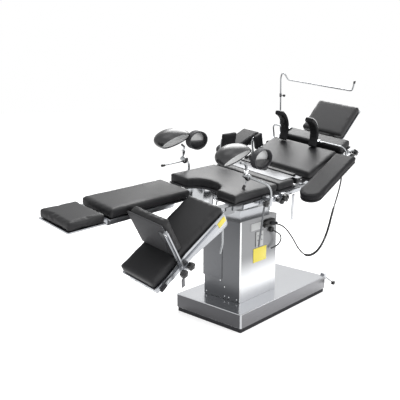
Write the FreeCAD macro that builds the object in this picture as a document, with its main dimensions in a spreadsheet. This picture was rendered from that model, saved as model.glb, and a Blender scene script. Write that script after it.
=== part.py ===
import FreeCAD, Part
import math
import os
import re

import Sketcher
from FreeCAD import Placement, Rotation, Vector

# Operating table, every length in millimetres and every angle in degrees.
# World axes: +X toward the head end, +Y toward the far side, +Z up, origin on
# the floor under the middle of the base. The table top stands as photographed:
# leaning 9 degrees sideways, 2.8 degrees up at the head, back and head raised,
# the near leg section folded down.

SIZES = {
    # fits and common stock
    "gap_fit": 0.3,
    "gap_slide": 0.4,
    "rod_r": 8,
    "pin_r": 9,
    "barrel_r": 15,
    "plate_t": 7.4,
    "beam_h": 24,
    # base
    "base_l": 930,
    "base_w": 514,
    "base_h": 114,
    "base_corner_r": 8,
    "base_edge_r": 3,
    "cover_t": 3,
    "skirt_h": 29,
    "skirt_in": 8,
    "skirt_t": 7,
    "chassis_w": 60,
    "chassis_z": 6,
    # brake
    "brake_x": 465,
    "brake_y": -232,
    "brake_z": 100,
    "brake_w": 30,
    "brake_out": 26,
    "brake_lug_h": 44,
    "brake_rod_r": 5,
    "brake_knob_r": 13,
    "brake_knob_t": 14,
    # column
    "col_x": -150,
    "col_l": 360,
    "col_w": 282,
    "col_top": 610,
    "col_wall": 2.5,
    "col_lid_t": 5,
    "inner_l": 292,
    "inner_w": 214,
    "inner_z": 330,
    "inner_top": 664,
    "panel_t": 3.2,
    "panel_w": 148,
    "panel_z": 235,
    "panel_h": 365,
    "head_l": 90,
    "head_w": 190,
    "head_t": 6,
    "ear_y": 70,
    "ear_t": 14,
    "ear_r": 15,
    # tilting head
    "tilt_z": 717,
    "pitch_rest": 2.8,
    "roll_rest": 9,
    "yoke_l": 48,
    "yoke_w": 120,
    "yoke_h": 32,
    "shaft_r": 10,
    "shaft_x": 60,
    "lug_x": 46,
    "lug_t": 14,
    "lug_w": 44,
    "lug_drop": 15,
    # seat section, measured from the tilt centre
    "top_w": 500,
    "pad_t": 50,
    "pad_top": 150,
    "pad_edge_r": 7,
    "pad_corner_r": 12,
    "seat_x": -384,
    "seat_front_l": 392.5,
    "seam_gap": 3,
    "seat_rear_l": 173.5,
    "notch_w": 227,
    "notch_d": 100,
    "seat_frame_z": 66,
    "seat_frame_h": 25.7,
    "seat_frame_end": 290,
    "tub_l": 300,
    "tub_w": 240,
    "beam_w": 35,
    "beam_y": 205,
    "cross_w": 30,
    "cross_front_x": -260,
    "side_in": 2,
    # drain tray
    "tray_r": 108,
    "tray_t": 3,
    "tray_h": 42,
    "tray_flange": 14,
    # side rails
    "rail_y": 257,
    "rail_t": 10,
    "rail_h": 25,
    "rail_below": 55,
    "stand_r": 5,
    "seat_rail_x": -330,
    "seat_rail_l": 560,
    "back_rail_x": 20,
    "back_rail_l": 470,
    "leg_rail_x": -545,
    "leg_rail_l": 455,
    # kidney bridge
    "kidney_x": 214,
    "kidney_l": 52,
    "kidney_w": 480,
    "kidney_t": 8,
    "kidney_top": 147,
    "kidney_leg_y": 150,
    "kidney_leg_z": -45,
    "sleeve_r": 14,
    "sleeve_z": 50,
    # leg sections, measured from the leg hinge
    "leg_hinge_x": -450,
    "leg_hinge_z": 62,
    "leg_rest_near": 31.2,
    "leg_w": 244,
    "leg_y": 6,
    "leg_pad_x": -4,
    "leg_l": 560,
    "leg_pad_top": 68,
    "bracket_t": 8,
    "bracket_in_y": 20,
    "bracket_out_y": 226,
    "bracket_low_z": 28,
    "bracket_low_h": 18,
    "swing_x": -60,
    "swing_y": 240,
    "arm_h": 16,
    "arm_x": -76,
    "arm_y": 190,
    "eye_r": 16,
    "leg_beam_z": -25,
    "leg_beam_w": 30,
    "leg_outer_y": 212,
    "leg_inner_y": 40,
    "leg_frame_x": -556,
    "leg_frame_end": -100,
    "socket_y": 90,
    "socket_pitch": 76,
    "socket_z": -9,
    # foot boards
    "foot_l": 214,
    "foot_gap": 25,
    "foot_drop": 15,
    "foot_pad_t": 45,
    "foot_rod_l": 250,
    "foot_block_l": 40,
    "board_x": -325,
    "board_pad_t": 50,
    "board_z": 71,
    "board_h": 214,
    "board_rail_x": -375,
    # back section, measured from the start of its cushion
    "back_x": 337.5,
    "back_z": 158,
    "back_rest": 18.7,
    "back_l": 333,
    "back_upper_x": 375,
    "back_upper_l": 128,
    "back_hinge_x": -46.6,
    "back_hinge_z": -67.6,
    "back_beam_w": 32,
    "back_beam_y": 190,
    "back_frame_end": 490,
    # head section, measured from the start of its cushion
    "head_x": 525.5,
    "head_rest": 24.6,
    "head_pad_w": 326,
    "head_pad_l": 274,
    "head_pad_t": 44,
    "head_hinge_x": -37,
    "head_hinge_z": -55.6,
    "head_pin_r": 8,
    "head_barrel_r": 13,
    "head_barrel_y": 90,
    "head_arm_y": 45,
    "head_arm_w": 40,
    # rail clamps and knobs
    "clamp_l": 44,
    "clamp_out": 18,
    "clamp_h": 48,
    "clamp_mouth": 12,
    "knob_r": 16,
    "knob_t": 16,
    "knob_post_r": 4,
    # leg holders
    "holder_rod_r": 7,
    "holder_hub_r": 15,
    "holder_hub_w": 26,
    "holder_pin_r": 6,
    "holder_eye_w": 16,
    "holder_eye_r": 12,
    "holder_y": 292,
    "holder_near_x": -122,
    "holder_far_x": -179,
    "trough_r": 78,
    "trough_t": 9,
    "trough_rise": 24,
    "trough_l": 220,
    "trough_corner_r": 55,
    "strap_l": 220,
    "strap_h": 84,
    "strap_w": 40,
    "strap_t": 5,
    "strap_round_r": 24,
    # arm boards
    "arm_board_l": 535,
    "arm_board_w": 145,
    "arm_pad_t": 38,
    "arm_far_l": 360,
    "arm_far_y": 377,
    "arm_far_z": 22,
    "arm_rest": 5,
    # supports
    "support_seat_w": 130,
    "support_back_w": 80,
    "support_h": 100,
    "support_t": 26,
    "shoulder_x": 345,
    "shoulder_z": 15,
    "shoulder_h": 180,
    "shoulder_w": 64,
    "shoulder_t": 30,
    "shoulder_r": 150,
    "shoulder_rod_r": 6,
    # screen frame
    "screen_r": 5,
    "screen_x": 452,
    "screen_z": 370,
    "screen_span": 560,
    "screen_lean": 50,
    # pendant, plugs and cords
    "pendant_w": 42,
    "pendant_h": 104,
    "pendant_t": 22,
    "cord_r": 4,
    "coil_r": 9,
    "short_cord_r": 4.5,
    "leg_cord_r": 3,
}

doc = FreeCAD.newDocument("operating_table")
sheet = doc.addObject("Spreadsheet::Sheet", "dim")


def fill_sheet():
    """Write every driving size into the sheet under its own alias."""
    for row, (alias, number) in enumerate(SIZES.items(), start=1):
        sheet.set("A%d" % row, alias.replace("_", " "))
        sheet.set("B%d" % row, str(number))
        sheet.setAlias("B%d" % row, alias)
    doc.recompute()


fill_sheet()
ALIAS = re.compile(r"\b(%s)\b" % "|".join(sorted(SIZES, key=len, reverse=True)))


def size(alias):
    """Read one size back from the sheet."""
    return float(sheet.get(alias))


def bind(item, path, text):
    """Bind a property to the sheet, or set it where the text is a plain number."""
    item.setExpression(path, ALIAS.sub(r"dim.\1", str(text)))


def at(item, corner, rotation=None):
    """Place a primitive by three expressions."""
    if rotation is not None:
        item.Placement = Placement(Vector(), rotation)
    for axis, text in zip("xyz", corner):
        bind(item, "Placement.Base." + axis, text)
    return item


def box(corner, extent):
    """A box from its low corner and its three extents, all expressions."""
    item = doc.addObject("Part::Box", "block")
    for name, text in zip(("Length", "Width", "Height"), extent):
        bind(item, name, text)
    return at(item, corner)


TURNS = {
    "x": Rotation(Vector(0, 1, 0), 90),
    "y": Rotation(Vector(1, 0, 0), -90),
    "z": Rotation(),
}


def rod(start, axis, length, radius):
    """A cylinder from its start point along one of the axes."""
    item = doc.addObject("Part::Cylinder", "rod")
    bind(item, "Radius", radius)
    bind(item, "Height", length)
    return at(item, start, TURNS[axis])


def ball(centre, radius):
    """A sphere."""
    item = doc.addObject("Part::Sphere", "ball")
    bind(item, "Radius", radius)
    return at(item, centre)


def fuse(pieces):
    """Join several solids into one object."""
    if len(pieces) == 1:
        return pieces[0]
    item = doc.addObject("Part::MultiFuse", "joined")
    item.Shapes = pieces
    item.Refine = True
    return item


def cut(base, tools):
    """Take the tools away from the base."""
    item = doc.addObject("Part::Cut", "cut")
    item.Base = base
    item.Tool = fuse(tools)
    item.Refine = True
    return item


def common(pieces):
    """Keep what several solids share."""
    item = doc.addObject("Part::MultiCommon", "shared")
    item.Shapes = pieces
    item.Refine = True
    return item


def rounded(base, radius, pick):
    """Round the edges of a solid that the pick function accepts."""
    doc.recompute()
    amount = size(radius)
    item = doc.addObject("Part::Fillet", "rounded")
    item.Base = base
    item.Edges = [(n, amount, amount) for n, edge in enumerate(base.Shape.Edges, 1) if pick(edge)]
    return item


def along(axis):
    """Build a test that accepts straight edges running along one axis."""
    wanted = {"x": Vector(1, 0, 0), "y": Vector(0, 1, 0), "z": Vector(0, 0, 1)}[axis]

    def test(edge):
        ends = [vertex.Point for vertex in edge.Vertexes]
        if len(ends) != 2:
            return False
        run = ends[1] - ends[0]
        return run.Length > 0 and abs(run.normalize().dot(wanted)) > 0.999
    return test


def upper(edge, shape_top):
    """Tell whether an edge lies wholly at the given height."""
    return all(abs(vertex.Point.z - shape_top) < 0.01 for vertex in edge.Vertexes)


NODES = []


def node(label, item, frame):
    """Give an object its own label and its place in the world."""
    item.Label = label
    doc.recompute()
    item.Placement = frame
    NODES.append(item)
    return item


def turn(axis, angle):
    """A rotation about one of the axes."""
    return Rotation({"x": Vector(1, 0, 0), "y": Vector(0, 1, 0), "z": Vector(0, 0, 1)}[axis], angle)


def shift(x, y, z, rotation=None):
    """A placement from an offset and a rotation."""
    return Placement(Vector(x, y, z), rotation or Rotation())


# Frames of the moving sections
WORLD = Placement()
YOKE = shift(size("col_x"), 0, size("tilt_z"), turn("y", -size("pitch_rest")))
TOP = YOKE.multiply(shift(0, 0, 0, turn("x", size("roll_rest"))))
BACK = TOP.multiply(shift(size("back_x"), 0, size("back_z"), turn("y", -size("back_rest"))))
HEAD = BACK.multiply(shift(size("head_x"), 0, 0, turn("y", -size("head_rest"))))
LEG_FAR = TOP.multiply(shift(size("leg_hinge_x"), 0, size("leg_hinge_z")))
LEG_NEAR = LEG_FAR.multiply(shift(0, 0, 0, turn("y", -size("leg_rest_near"))))


def rectangle_sketch(body, name, length, width):
    """A sketch of a rectangle from the origin, its two sizes bound to the sheet."""
    sketch = body.newObject("Sketcher::SketchObject", name)
    plane = [item for item in body.Origin.OriginFeatures if item.Role == "XY_Plane"][0]
    sketch.AttachmentSupport = [(plane, "")]
    sketch.MapMode = "FlatFace"
    far_x, far_y = 100, 50
    corners = [Vector(0, 0, 0), Vector(far_x, 0, 0), Vector(far_x, far_y, 0), Vector(0, far_y, 0)]
    for start, end in zip(corners, corners[1:] + corners[:1]):
        sketch.addGeometry(Part.LineSegment(start, end), False)
    for line in range(4):
        sketch.addConstraint(Sketcher.Constraint("Coincident", line, 2, (line + 1) % 4, 1))
    for line in (0, 2):
        sketch.addConstraint(Sketcher.Constraint("Horizontal", line))
    for line in (1, 3):
        sketch.addConstraint(Sketcher.Constraint("Vertical", line))
    sketch.addConstraint(Sketcher.Constraint("Coincident", 0, 1, -1, 1))
    for kind, line, name_text, text in (("DistanceX", 0, "along", length), ("DistanceY", 1, "across", width)):
        index = sketch.addConstraint(Sketcher.Constraint(kind, line, 1, line, 2, float(far_x)))
        sketch.renameConstraint(index, name_text)
        bind(sketch, "Constraints." + name_text, text)
    return sketch


def padded_body(name, length, width, height):
    """A body holding one padded rectangle."""
    body = doc.addObject("PartDesign::Body", name)
    sketch = rectangle_sketch(body, name + "_outline", length, width)
    pad = body.newObject("PartDesign::Pad", name + "_pad")
    pad.Profile = sketch
    bind(pad, "Length", height)
    sketch.Visibility = False
    doc.recompute()
    return body


def body_fillet(body, radius, pick):
    """Round edges of the body's tip."""
    tip = body.Tip
    fillet = body.newObject("PartDesign::Fillet", body.Name + "_round")
    names = ["Edge%d" % n for n, edge in enumerate(tip.Shape.Edges, 1) if pick(edge)]
    fillet.Base = (tip, names)
    bind(fillet, "Radius", radius)
    doc.recompute()


def cushion(label, length, width, height, frame):
    """A plain cushion with round corners and a soft upper edge."""
    body = padded_body(label, length, width, height)
    body_fillet(body, "pad_corner_r", along("z"))
    top = body.Shape.BoundBox.ZMax
    body_fillet(body, "pad_edge_r", lambda edge: upper(edge, top))
    return node(label, body, frame)


def seat_front_cushion():
    """The front seat cushion with its half-round cut-out for the drain tray."""
    body = padded_body("seat_pad_front", "seat_front_l", "top_w", "pad_t")
    sketch = body.newObject("Sketcher::SketchObject", "notch_outline")
    plane = [item for item in body.Origin.OriginFeatures if item.Role == "XY_Plane"][0]
    sketch.AttachmentSupport = [(plane, "")]
    sketch.MapMode = "FlatFace"
    sketch.addGeometry(Part.Circle(Vector(-14, 250, 0), Vector(0, 0, 1), 110), False)
    radius = "(notch_w * notch_w / 4 + notch_d * notch_d) / (2 * notch_d)"
    limits = (
        ("Radius", (0, 100.0), "round", radius),
        ("DistanceX", (0, 3, -1, 1, 14.0), "set_out", radius + " - notch_d"),
        ("DistanceY", (-1, 1, 0, 3, 250.0), "middle", "top_w / 2"),
    )
    for kind, numbers, name, text in limits:
        index = sketch.addConstraint(Sketcher.Constraint(kind, *numbers))
        sketch.renameConstraint(index, name)
        bind(sketch, "Constraints." + name, text)
    before = body.Shape.Volume
    pocket = body.newObject("PartDesign::Pocket", "notch")
    pocket.Profile = sketch
    pocket.Type = 1
    pocket.Midplane = True
    sketch.Visibility = False
    doc.recompute()
    assert body.Shape.Volume < before - 1, "the cut-out removed nothing"
    edge_r = size("pad_edge_r")
    body_fillet(body, "pad_corner_r", lambda edge: along("z")(edge) and edge.CenterOfMass.x > edge_r)
    top = body.Shape.BoundBox.ZMax
    body_fillet(body, "pad_edge_r", lambda edge: upper(edge, top))
    frame = shift(size("seat_x"), -size("top_w") / 2, size("pad_top") - size("pad_t"))
    return node("seat_pad_front", body, TOP.multiply(frame))


def notch_radius():
    """Radius of the round cut-out worked out from its width and depth."""
    width = size("notch_w")
    depth = size("notch_d")
    return (width * width / 4 + depth * depth) / (2 * depth)


def tube_path(points, radius_share=0.45):
    """A wire through the points with straight runs and tangent arcs."""
    spots = [Vector(*point) for point in points]
    radii = []
    edges = []
    here = spots[0]
    for before, corner, after in zip(spots, spots[1:], spots[2:]):
        back = (before - corner).normalize()
        forth = (after - corner).normalize()
        half_turn = (math.pi - back.getAngle(forth)) / 2
        reach = radius_share * min((before - corner).Length, (after - corner).Length)
        radius = reach / math.tan(half_turn)
        radii.append(radius)
        start = corner + back * reach
        end = corner + forth * reach
        middle_way = (back + forth).normalize()
        centre = corner + middle_way * (radius / math.cos(half_turn))
        crown = centre - middle_way * radius
        edges.append(Part.LineSegment(here, start).toShape())
        edges.append(Part.Arc(start, crown, end).toShape())
        here = end
    edges.append(Part.LineSegment(here, spots[-1]).toShape())
    return Part.Wire(edges), radii


def tube(label, points, radius, frame, share=0.45):
    """A round tube swept along straight runs and tangent arcs."""
    wire, radii = tube_path(points, share)
    first = wire.Edges[0]
    heading = first.tangentAt(first.FirstParameter)
    ring = Part.Circle(first.valueAt(first.FirstParameter), heading, radius).toShape()
    shape = wire.makePipeShell([Part.Wire(ring)], True, True)
    expected = math.pi * radius * radius * wire.Length
    assert abs(shape.Volume - expected) < 0.02 * expected, label
    item = doc.addObject("Part::Feature", label)
    item.Shape = shape
    print(label, "length", round(wire.Length), "smallest radius", round(min(radii) if radii else 0))
    if frame is not None:
        node(label, item, frame)
    return item


# Base and brake

def chassis():
    """Frame on the floor inside the skirt."""
    margin = "(skirt_in + skirt_t + gap_fit)"
    low = ["-base_l / 2 + " + margin, "-base_w / 2 + " + margin, "chassis_z"]
    extent = ["base_l - 2 * " + margin, "base_w - 2 * " + margin, "base_h - cover_t - gap_fit - chassis_z"]
    outer = box(low, extent)
    hole = box(
        [low[0] + " + chassis_w", low[1] + " + chassis_w", "0"],
        [extent[0] + " - 2 * chassis_w", extent[1] + " - 2 * chassis_w", "base_h"],
    )
    return node("base_chassis", cut(outer, [hole]), WORLD)


def skirt():
    """Black skirt that stands on the floor."""
    outer = box(
        ["-base_l / 2 + skirt_in", "-base_w / 2 + skirt_in", "0"],
        ["base_l - 2 * skirt_in", "base_w - 2 * skirt_in", "skirt_h"],
    )
    hole = box(
        ["-base_l / 2 + skirt_in + skirt_t", "-base_w / 2 + skirt_in + skirt_t", "-1"],
        ["base_l - 2 * skirt_in - 2 * skirt_t", "base_w - 2 * skirt_in - 2 * skirt_t", "skirt_h + 2"],
    )
    return node("base_skirt", cut(outer, [hole]), WORLD)


def base_cover():
    """Stainless cover over the base, open below."""
    outer = box(
        ["-base_l / 2", "-base_w / 2", "skirt_h + gap_fit"],
        ["base_l", "base_w", "base_h - skirt_h - gap_fit"],
    )
    outer = rounded(outer, "base_corner_r", along("z"))
    doc.recompute()
    top = size("base_h")
    outer = rounded(outer, "base_edge_r", lambda edge: upper(edge, top))
    hole = box(
        ["-base_l / 2 + cover_t", "-base_w / 2 + cover_t", "0"],
        ["base_l - 2 * cover_t", "base_w - 2 * cover_t", "base_h - cover_t"],
    )
    return node("base_cover", cut(outer, [hole]), WORLD)


def brake():
    """Brake bracket on the head end and the bent lever in it."""
    cheek = "4"
    low_z = "brake_z - brake_lug_h / 2 + 4"
    plate = box(["brake_x + gap_fit", "brake_y - brake_w / 2", low_z], [cheek, "brake_w", "brake_lug_h"])
    sides = [
        box(["brake_x + gap_fit", y, low_z], ["brake_out", cheek, "brake_lug_h"])
        for y in ("brake_y - brake_w / 2", "brake_y + brake_w / 2 - 4")
    ]
    pin_x = "brake_x + brake_out - 10"
    pin = rod([pin_x, "brake_y - brake_w / 2", "brake_z"], "y", "brake_w", "4")
    node("brake_bracket", fuse([plate] + sides + [pin]), WORLD)
    hub = cut(
        rod([pin_x, "brake_y - brake_w / 2 + 5", "brake_z"], "y", "brake_w - 10", "8"),
        [rod([pin_x, "brake_y - brake_w / 2", "brake_z"], "y", "brake_w", "4 + gap_slide")],
    )
    pin_at = size("brake_x") + size("brake_out") - 10
    points = [
        (pin_at + 6, size("brake_y"), size("brake_z") - 1),
        (pin_at + 26, size("brake_y") - 4, size("brake_z") - 12),
        (pin_at + 46, size("brake_y") - 52, size("brake_z") - 46),
    ]
    lever = tube("brake_rod", points, size("brake_rod_r"), None)
    tip = rod(
        [str(points[-1][0]), str(points[-1][1]) + " - brake_knob_t / 2", str(points[-1][2])],
        "y", "brake_knob_t", "brake_knob_r",
    )
    return node("brake_lever", fuse([hub, lever, tip]), WORLD)


# Column

def column_covers():
    """Fixed lower cover with its lid ring, the end panel and the sliding inner cover."""
    bottom = "base_h + gap_fit"
    outer = box(["col_x - col_l / 2", "-col_w / 2", bottom], ["col_l", "col_w", "col_top - base_h - gap_fit"])
    cavity = box(
        ["col_x - col_l / 2 + col_wall", "-col_w / 2 + col_wall", "base_h"],
        ["col_l - 2 * col_wall", "col_w - 2 * col_wall", "col_top - base_h - col_lid_t"],
    )
    mouth = box(
        ["col_x - inner_l / 2 - gap_slide", "-inner_w / 2 - gap_slide", "base_h"],
        ["inner_l + 2 * gap_slide", "inner_w + 2 * gap_slide", "col_top"],
    )
    panel = box(
        ["col_x - col_l / 2 - panel_t", "2", "panel_z"],
        ["panel_t + 1", "panel_w", "panel_h"],
    )
    shell = cut(rounded(outer, "col_wall", along("z")), [cavity, mouth])
    node("column_lower_cover", fuse([shell, panel]), WORLD)
    inner = box(["col_x - inner_l / 2", "-inner_w / 2", "inner_z"], ["inner_l", "inner_w", "inner_top - inner_z"])
    inner_cavity = box(
        ["col_x - inner_l / 2 + cover_t", "-inner_w / 2 + cover_t", "inner_z - 1"],
        ["inner_l - 2 * cover_t", "inner_w - 2 * cover_t", "inner_top - inner_z - cover_t + 1"],
    )
    inner = rounded(inner, "col_wall", along("z"))
    node("column_inner_cover", cut(inner, [inner_cavity]), WORLD)


def side_plate(middle_x, middle_z, length, height, thickness):
    """A small plate on the near face of the column."""
    low = [
        "%s - %s / 2" % (middle_x, length),
        "-col_w / 2 - gap_fit - %s" % thickness,
        "%s - %s / 2" % (middle_z, height),
    ]
    return box(low, [str(length), str(thickness), str(height)])


def column_fittings():
    """Two bare plates, the switch panel and the socket block on the near face."""
    plates = [side_plate(-142, 379, 132, 88, 1.5), side_plate(-178, 559, 112, 44, 1.5)]
    node("column_plates", fuse(plates), WORLD)
    panel = side_plate(-149, 458, 72, 56, 4)
    block = box(["-92", "-col_w / 2 - gap_fit - 18", "540"], ["84", "18", "44"])
    ring = rod(["-34", "-col_w / 2 - gap_fit - 14", "516"], "y", "14", "18")
    node("column_controls", fuse([panel, block, ring]), WORLD)


def column_head():
    """Plate with two ears on the inner cover, carrying the pitch shaft."""
    plate = box(
        ["col_x - head_l / 2", "-head_w / 2", "inner_top + gap_fit"],
        ["head_l", "head_w", "head_t"],
    )
    ears = []
    for y in ("ear_y", "-ear_y - ear_t"):
        ears.append(box(["col_x - ear_r", y, "inner_top + gap_fit"], ["2 * ear_r", "ear_t", "tilt_z - inner_top"]))
        ears.append(rod(["col_x", y, "tilt_z"], "y", "ear_t", "ear_r"))
    hole = rod(["col_x", "-head_w", "tilt_z"], "y", "2 * head_w", "shaft_r + gap_slide")
    return node("column_head", cut(fuse([plate] + ears), [hole]), WORLD)


def tilt_yoke():
    """Cross block with the pitch shaft and the roll shaft."""
    block = box(["-yoke_l / 2", "-yoke_w / 2", "-yoke_h / 2"], ["yoke_l", "yoke_w", "yoke_h"])
    reach = "(ear_y + ear_t)"
    pitch = rod(["0", "-" + reach, "0"], "y", "2 * " + reach, "shaft_r")
    roll = rod(["-shaft_x", "0", "0"], "x", "2 * shaft_x", "shaft_r")
    return node("tilt_yoke", fuse([block, pitch, roll]), YOKE)


# Seat section

def seat_frame():
    """Steel frame of the seat with its tilt lugs, hinge brackets and guide sleeves."""
    low = "seat_frame_z"
    high = "seat_frame_h"
    tub = box(["-tub_l / 2", "-tub_w / 2", low], ["tub_l", "tub_w", high])
    pieces = [tub]
    start = "seat_x"
    for y in ("beam_y", "-beam_y - beam_w"):
        pieces.append(box([start, y, low], ["seat_frame_end - seat_x", "beam_w", high]))
    for x in ("cross_front_x", "-cross_w / 2", "kidney_x + kidney_l / 2 - cross_w / 2"):
        pieces.append(box([x, "-beam_y - 1", low], ["cross_w", "2 * beam_y + 2", high]))
    for x in ("lug_x", "-lug_x - lug_t"):
        pieces.append(box([x, "-lug_w / 2", "-lug_drop"], ["lug_t", "lug_w", "lug_drop + seat_frame_z + 1"]))
    tools = [rod(["-2 * shaft_x", "0", "0"], "x", "4 * shaft_x", "shaft_r + gap_slide")]
    for y in ("kidney_leg_y", "-kidney_leg_y"):
        spot = ["kidney_x + kidney_l / 2", y]
        pieces.append(rod(spot + ["sleeve_z"], "z", "seat_frame_z + seat_frame_h - sleeve_z", "sleeve_r"))
        tools.append(rod(spot + ["0"], "z", "pad_top", "pin_r + gap_slide"))
    pieces += leg_brackets() + back_brackets()
    return node("seat_frame", cut(fuse(pieces), tools), TOP)


def leg_brackets():
    """Bracket plates and pins that carry both leg sections."""
    pieces = []
    for side in (1, -1):
        for inner in ("bracket_in_y", "bracket_out_y"):
            y = mirrored(inner, "bracket_t", side)
            pieces.append(rod(["leg_hinge_x", y, "leg_hinge_z"], "y", "bracket_t", "barrel_r - 1"))
        y = mirrored("bracket_out_y", "bracket_t", side)
        pieces.append(box(
            ["leg_hinge_x", y, "leg_hinge_z - barrel_r + 1"],
            ["seat_x - leg_hinge_x + 20", "bracket_t", "2 * barrel_r - 4"],
        ))
        pieces.append(box(
            ["leg_hinge_x + 12", y, "leg_hinge_z - barrel_r + 1"],
            ["seat_x - leg_hinge_x + 20 - 12", "bracket_t", "seat_frame_z + seat_frame_h - leg_hinge_z + barrel_r - 1"],
        ))
        y = mirrored("bracket_in_y", "bracket_t", side)
        back_end = "cross_front_x + cross_w - 10"
        pieces.append(box(["leg_hinge_x - 5", y, "bracket_low_z"], ["19", "bracket_t", "leg_hinge_z - bracket_low_z"]))
        pieces.append(box(
            ["leg_hinge_x - 5", y, "bracket_low_z"], [back_end + " - leg_hinge_x + 5", "bracket_t", "bracket_low_h"],
        ))
        pieces.append(box([back_end + " - 20", y, "bracket_low_z"], ["20", "bracket_t", "seat_frame_z - bracket_low_z + 2"]))
        start = "bracket_in_y" if side > 0 else "-bracket_out_y - bracket_t"
        pieces.append(rod(
            ["leg_hinge_x", start, "leg_hinge_z"], "y",
            "bracket_out_y + bracket_t - bracket_in_y", "pin_r",
        ))
    return pieces


def back_brackets():
    """Cheek plates and stub pins that carry the back section."""
    pieces = []
    pin_x, pin_z = back_hinge_in_top()
    for side in (1, -1):
        cheek_y = "beam_y + beam_w - 14" if side > 0 else "-beam_y - beam_w"
        pieces.append(box(
            ["seat_frame_end - 20", cheek_y, "seat_frame_z"],
            [str(pin_x - size("seat_frame_end") + 32), "14", "seat_frame_h"],
        ))
        start = "back_beam_y" if side > 0 else "-beam_y - beam_w"
        pieces.append(rod([str(pin_x), start, str(pin_z)], "y", "beam_y + beam_w - back_beam_y", "pin_r"))
    return pieces


def back_hinge_in_top():
    """Back hinge position carried over into the seat section's frame."""
    lean = math.radians(size("back_rest"))
    along_x = size("back_hinge_x")
    up_z = size("back_hinge_z")
    x = size("back_x") + along_x * math.cos(lean) - up_z * math.sin(lean)
    z = size("back_z") + along_x * math.sin(lean) + up_z * math.cos(lean)
    return x, z


def seat_plate():
    """Black plate under both seat cushions, cut out for the tray."""
    plate = box(
        ["seat_x", "-top_w / 2 + side_in", "pad_top - pad_t - gap_fit - plate_t"],
        ["seat_front_l + seam_gap + seat_rear_l", "top_w - 2 * side_in", "plate_t"],
    )
    centre = str(size("seat_x") - notch_radius() + size("notch_d"))
    hole = rod([centre, "0", "0"], "z", "pad_top", str(notch_radius()))
    return node("seat_plate", cut(plate, [hole]), TOP)


def drain_tray():
    """Half-round steel tray hung under the cut-out."""
    centre = str(size("seat_x") - notch_radius() + size("notch_d"))
    top = "pad_top - pad_t - 2 * gap_fit - plate_t"
    wall = rod([centre, "0", top + " - tray_h"], "z", "tray_h", "tray_r")
    flange = rod([centre, "0", top + " - tray_t"], "z", "tray_t", "tray_r + tray_flange")
    hollow = rod([centre, "0", top + " - tray_h + tray_t"], "z", "tray_h", "tray_r - tray_t")
    away = box([centre + " - 2 * tray_r", "-2 * tray_r", "0"], ["2 * tray_r", "4 * tray_r", "pad_top"])
    return node("drain_tray", cut(fuse([wall, flange]), [hollow, away]), TOP)


def rail_piece(start, length, low, beam_edge, side, stands):
    """A flat side rail on round stand-offs."""
    face = "rail_y" if side > 0 else "-rail_y - rail_t"
    pieces = [box([start, face, low], [length, "rail_t", "rail_h"])]
    for spot in stands:
        y = beam_edge + " + gap_fit" if side > 0 else "-rail_y - 1"
        reach = "rail_y + 1 - gap_fit - (%s)" % beam_edge
        pieces.append(rod([spot, y, low + " + rail_h / 2"], "y", reach, "stand_r"))
    return pieces


def seat_rails():
    """Side rails of the seat."""
    pieces = []
    for side in (-1, 1):
        pieces += rail_piece(
            "seat_rail_x", "seat_rail_l", "pad_top - pad_t - rail_below + rail_h",
            "beam_y + beam_w", side, ("seat_rail_x + 50", "0", "seat_rail_x + seat_rail_l - 30"),
        )
    return node("seat_rails", fuse(pieces), TOP)


def kidney_bridge():
    """Cross plate on two round legs that rise through the sleeves."""
    plate = box(
        ["kidney_x", "-kidney_w / 2", "kidney_top - kidney_t"],
        ["kidney_l", "kidney_w", "kidney_t"],
    )
    legs = [
        rod(["kidney_x + kidney_l / 2", y, "kidney_leg_z"], "z", "kidney_top - kidney_t - kidney_leg_z + 1", "pin_r")
        for y in ("kidney_leg_y", "-kidney_leg_y")
    ]
    return node("kidney_bridge", fuse([plate] + legs), TOP)


# Leg sections

def mirrored(y, extent, side):
    """Low y of a piece of the given extent, mirrored for the near side."""
    return y if side > 0 else "-(%s) - (%s)" % (y, extent)


def leg_knuckle(label, side, frame):
    """Hinge barrel with the arm and the upright swing pin."""
    start = "bracket_in_y + bracket_t + 2"
    length = "bracket_out_y - bracket_in_y - bracket_t - 4"
    barrel = rod(["0", mirrored(start, length, side), "0"], "y", length, "barrel_r")
    inner = box(["-40", mirrored("arm_y", "26", side), "-arm_h / 2"], ["40", "26", "arm_h"])
    outer_w = "swing_y + eye_r - arm_y"
    outer = box(["arm_x", mirrored("arm_y", outer_w, side), "-arm_h / 2"], ["-24 - arm_x", outer_w, "arm_h"])
    y = "swing_y" if side > 0 else "-swing_y"
    pin = rod(["swing_x", y, "leg_beam_z - gap_slide"], "z", "-leg_beam_z + gap_slide", "pin_r")
    foot = rod(["swing_x", y, "leg_beam_z - gap_slide - 4"], "z", "4", "pin_r + 4")
    bore = rod(["0", "-top_w", "0"], "y", "2 * top_w", "pin_r + gap_slide")
    return node(label, cut(fuse([barrel, inner, outer, pin, foot]), [bore]), frame)


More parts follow.
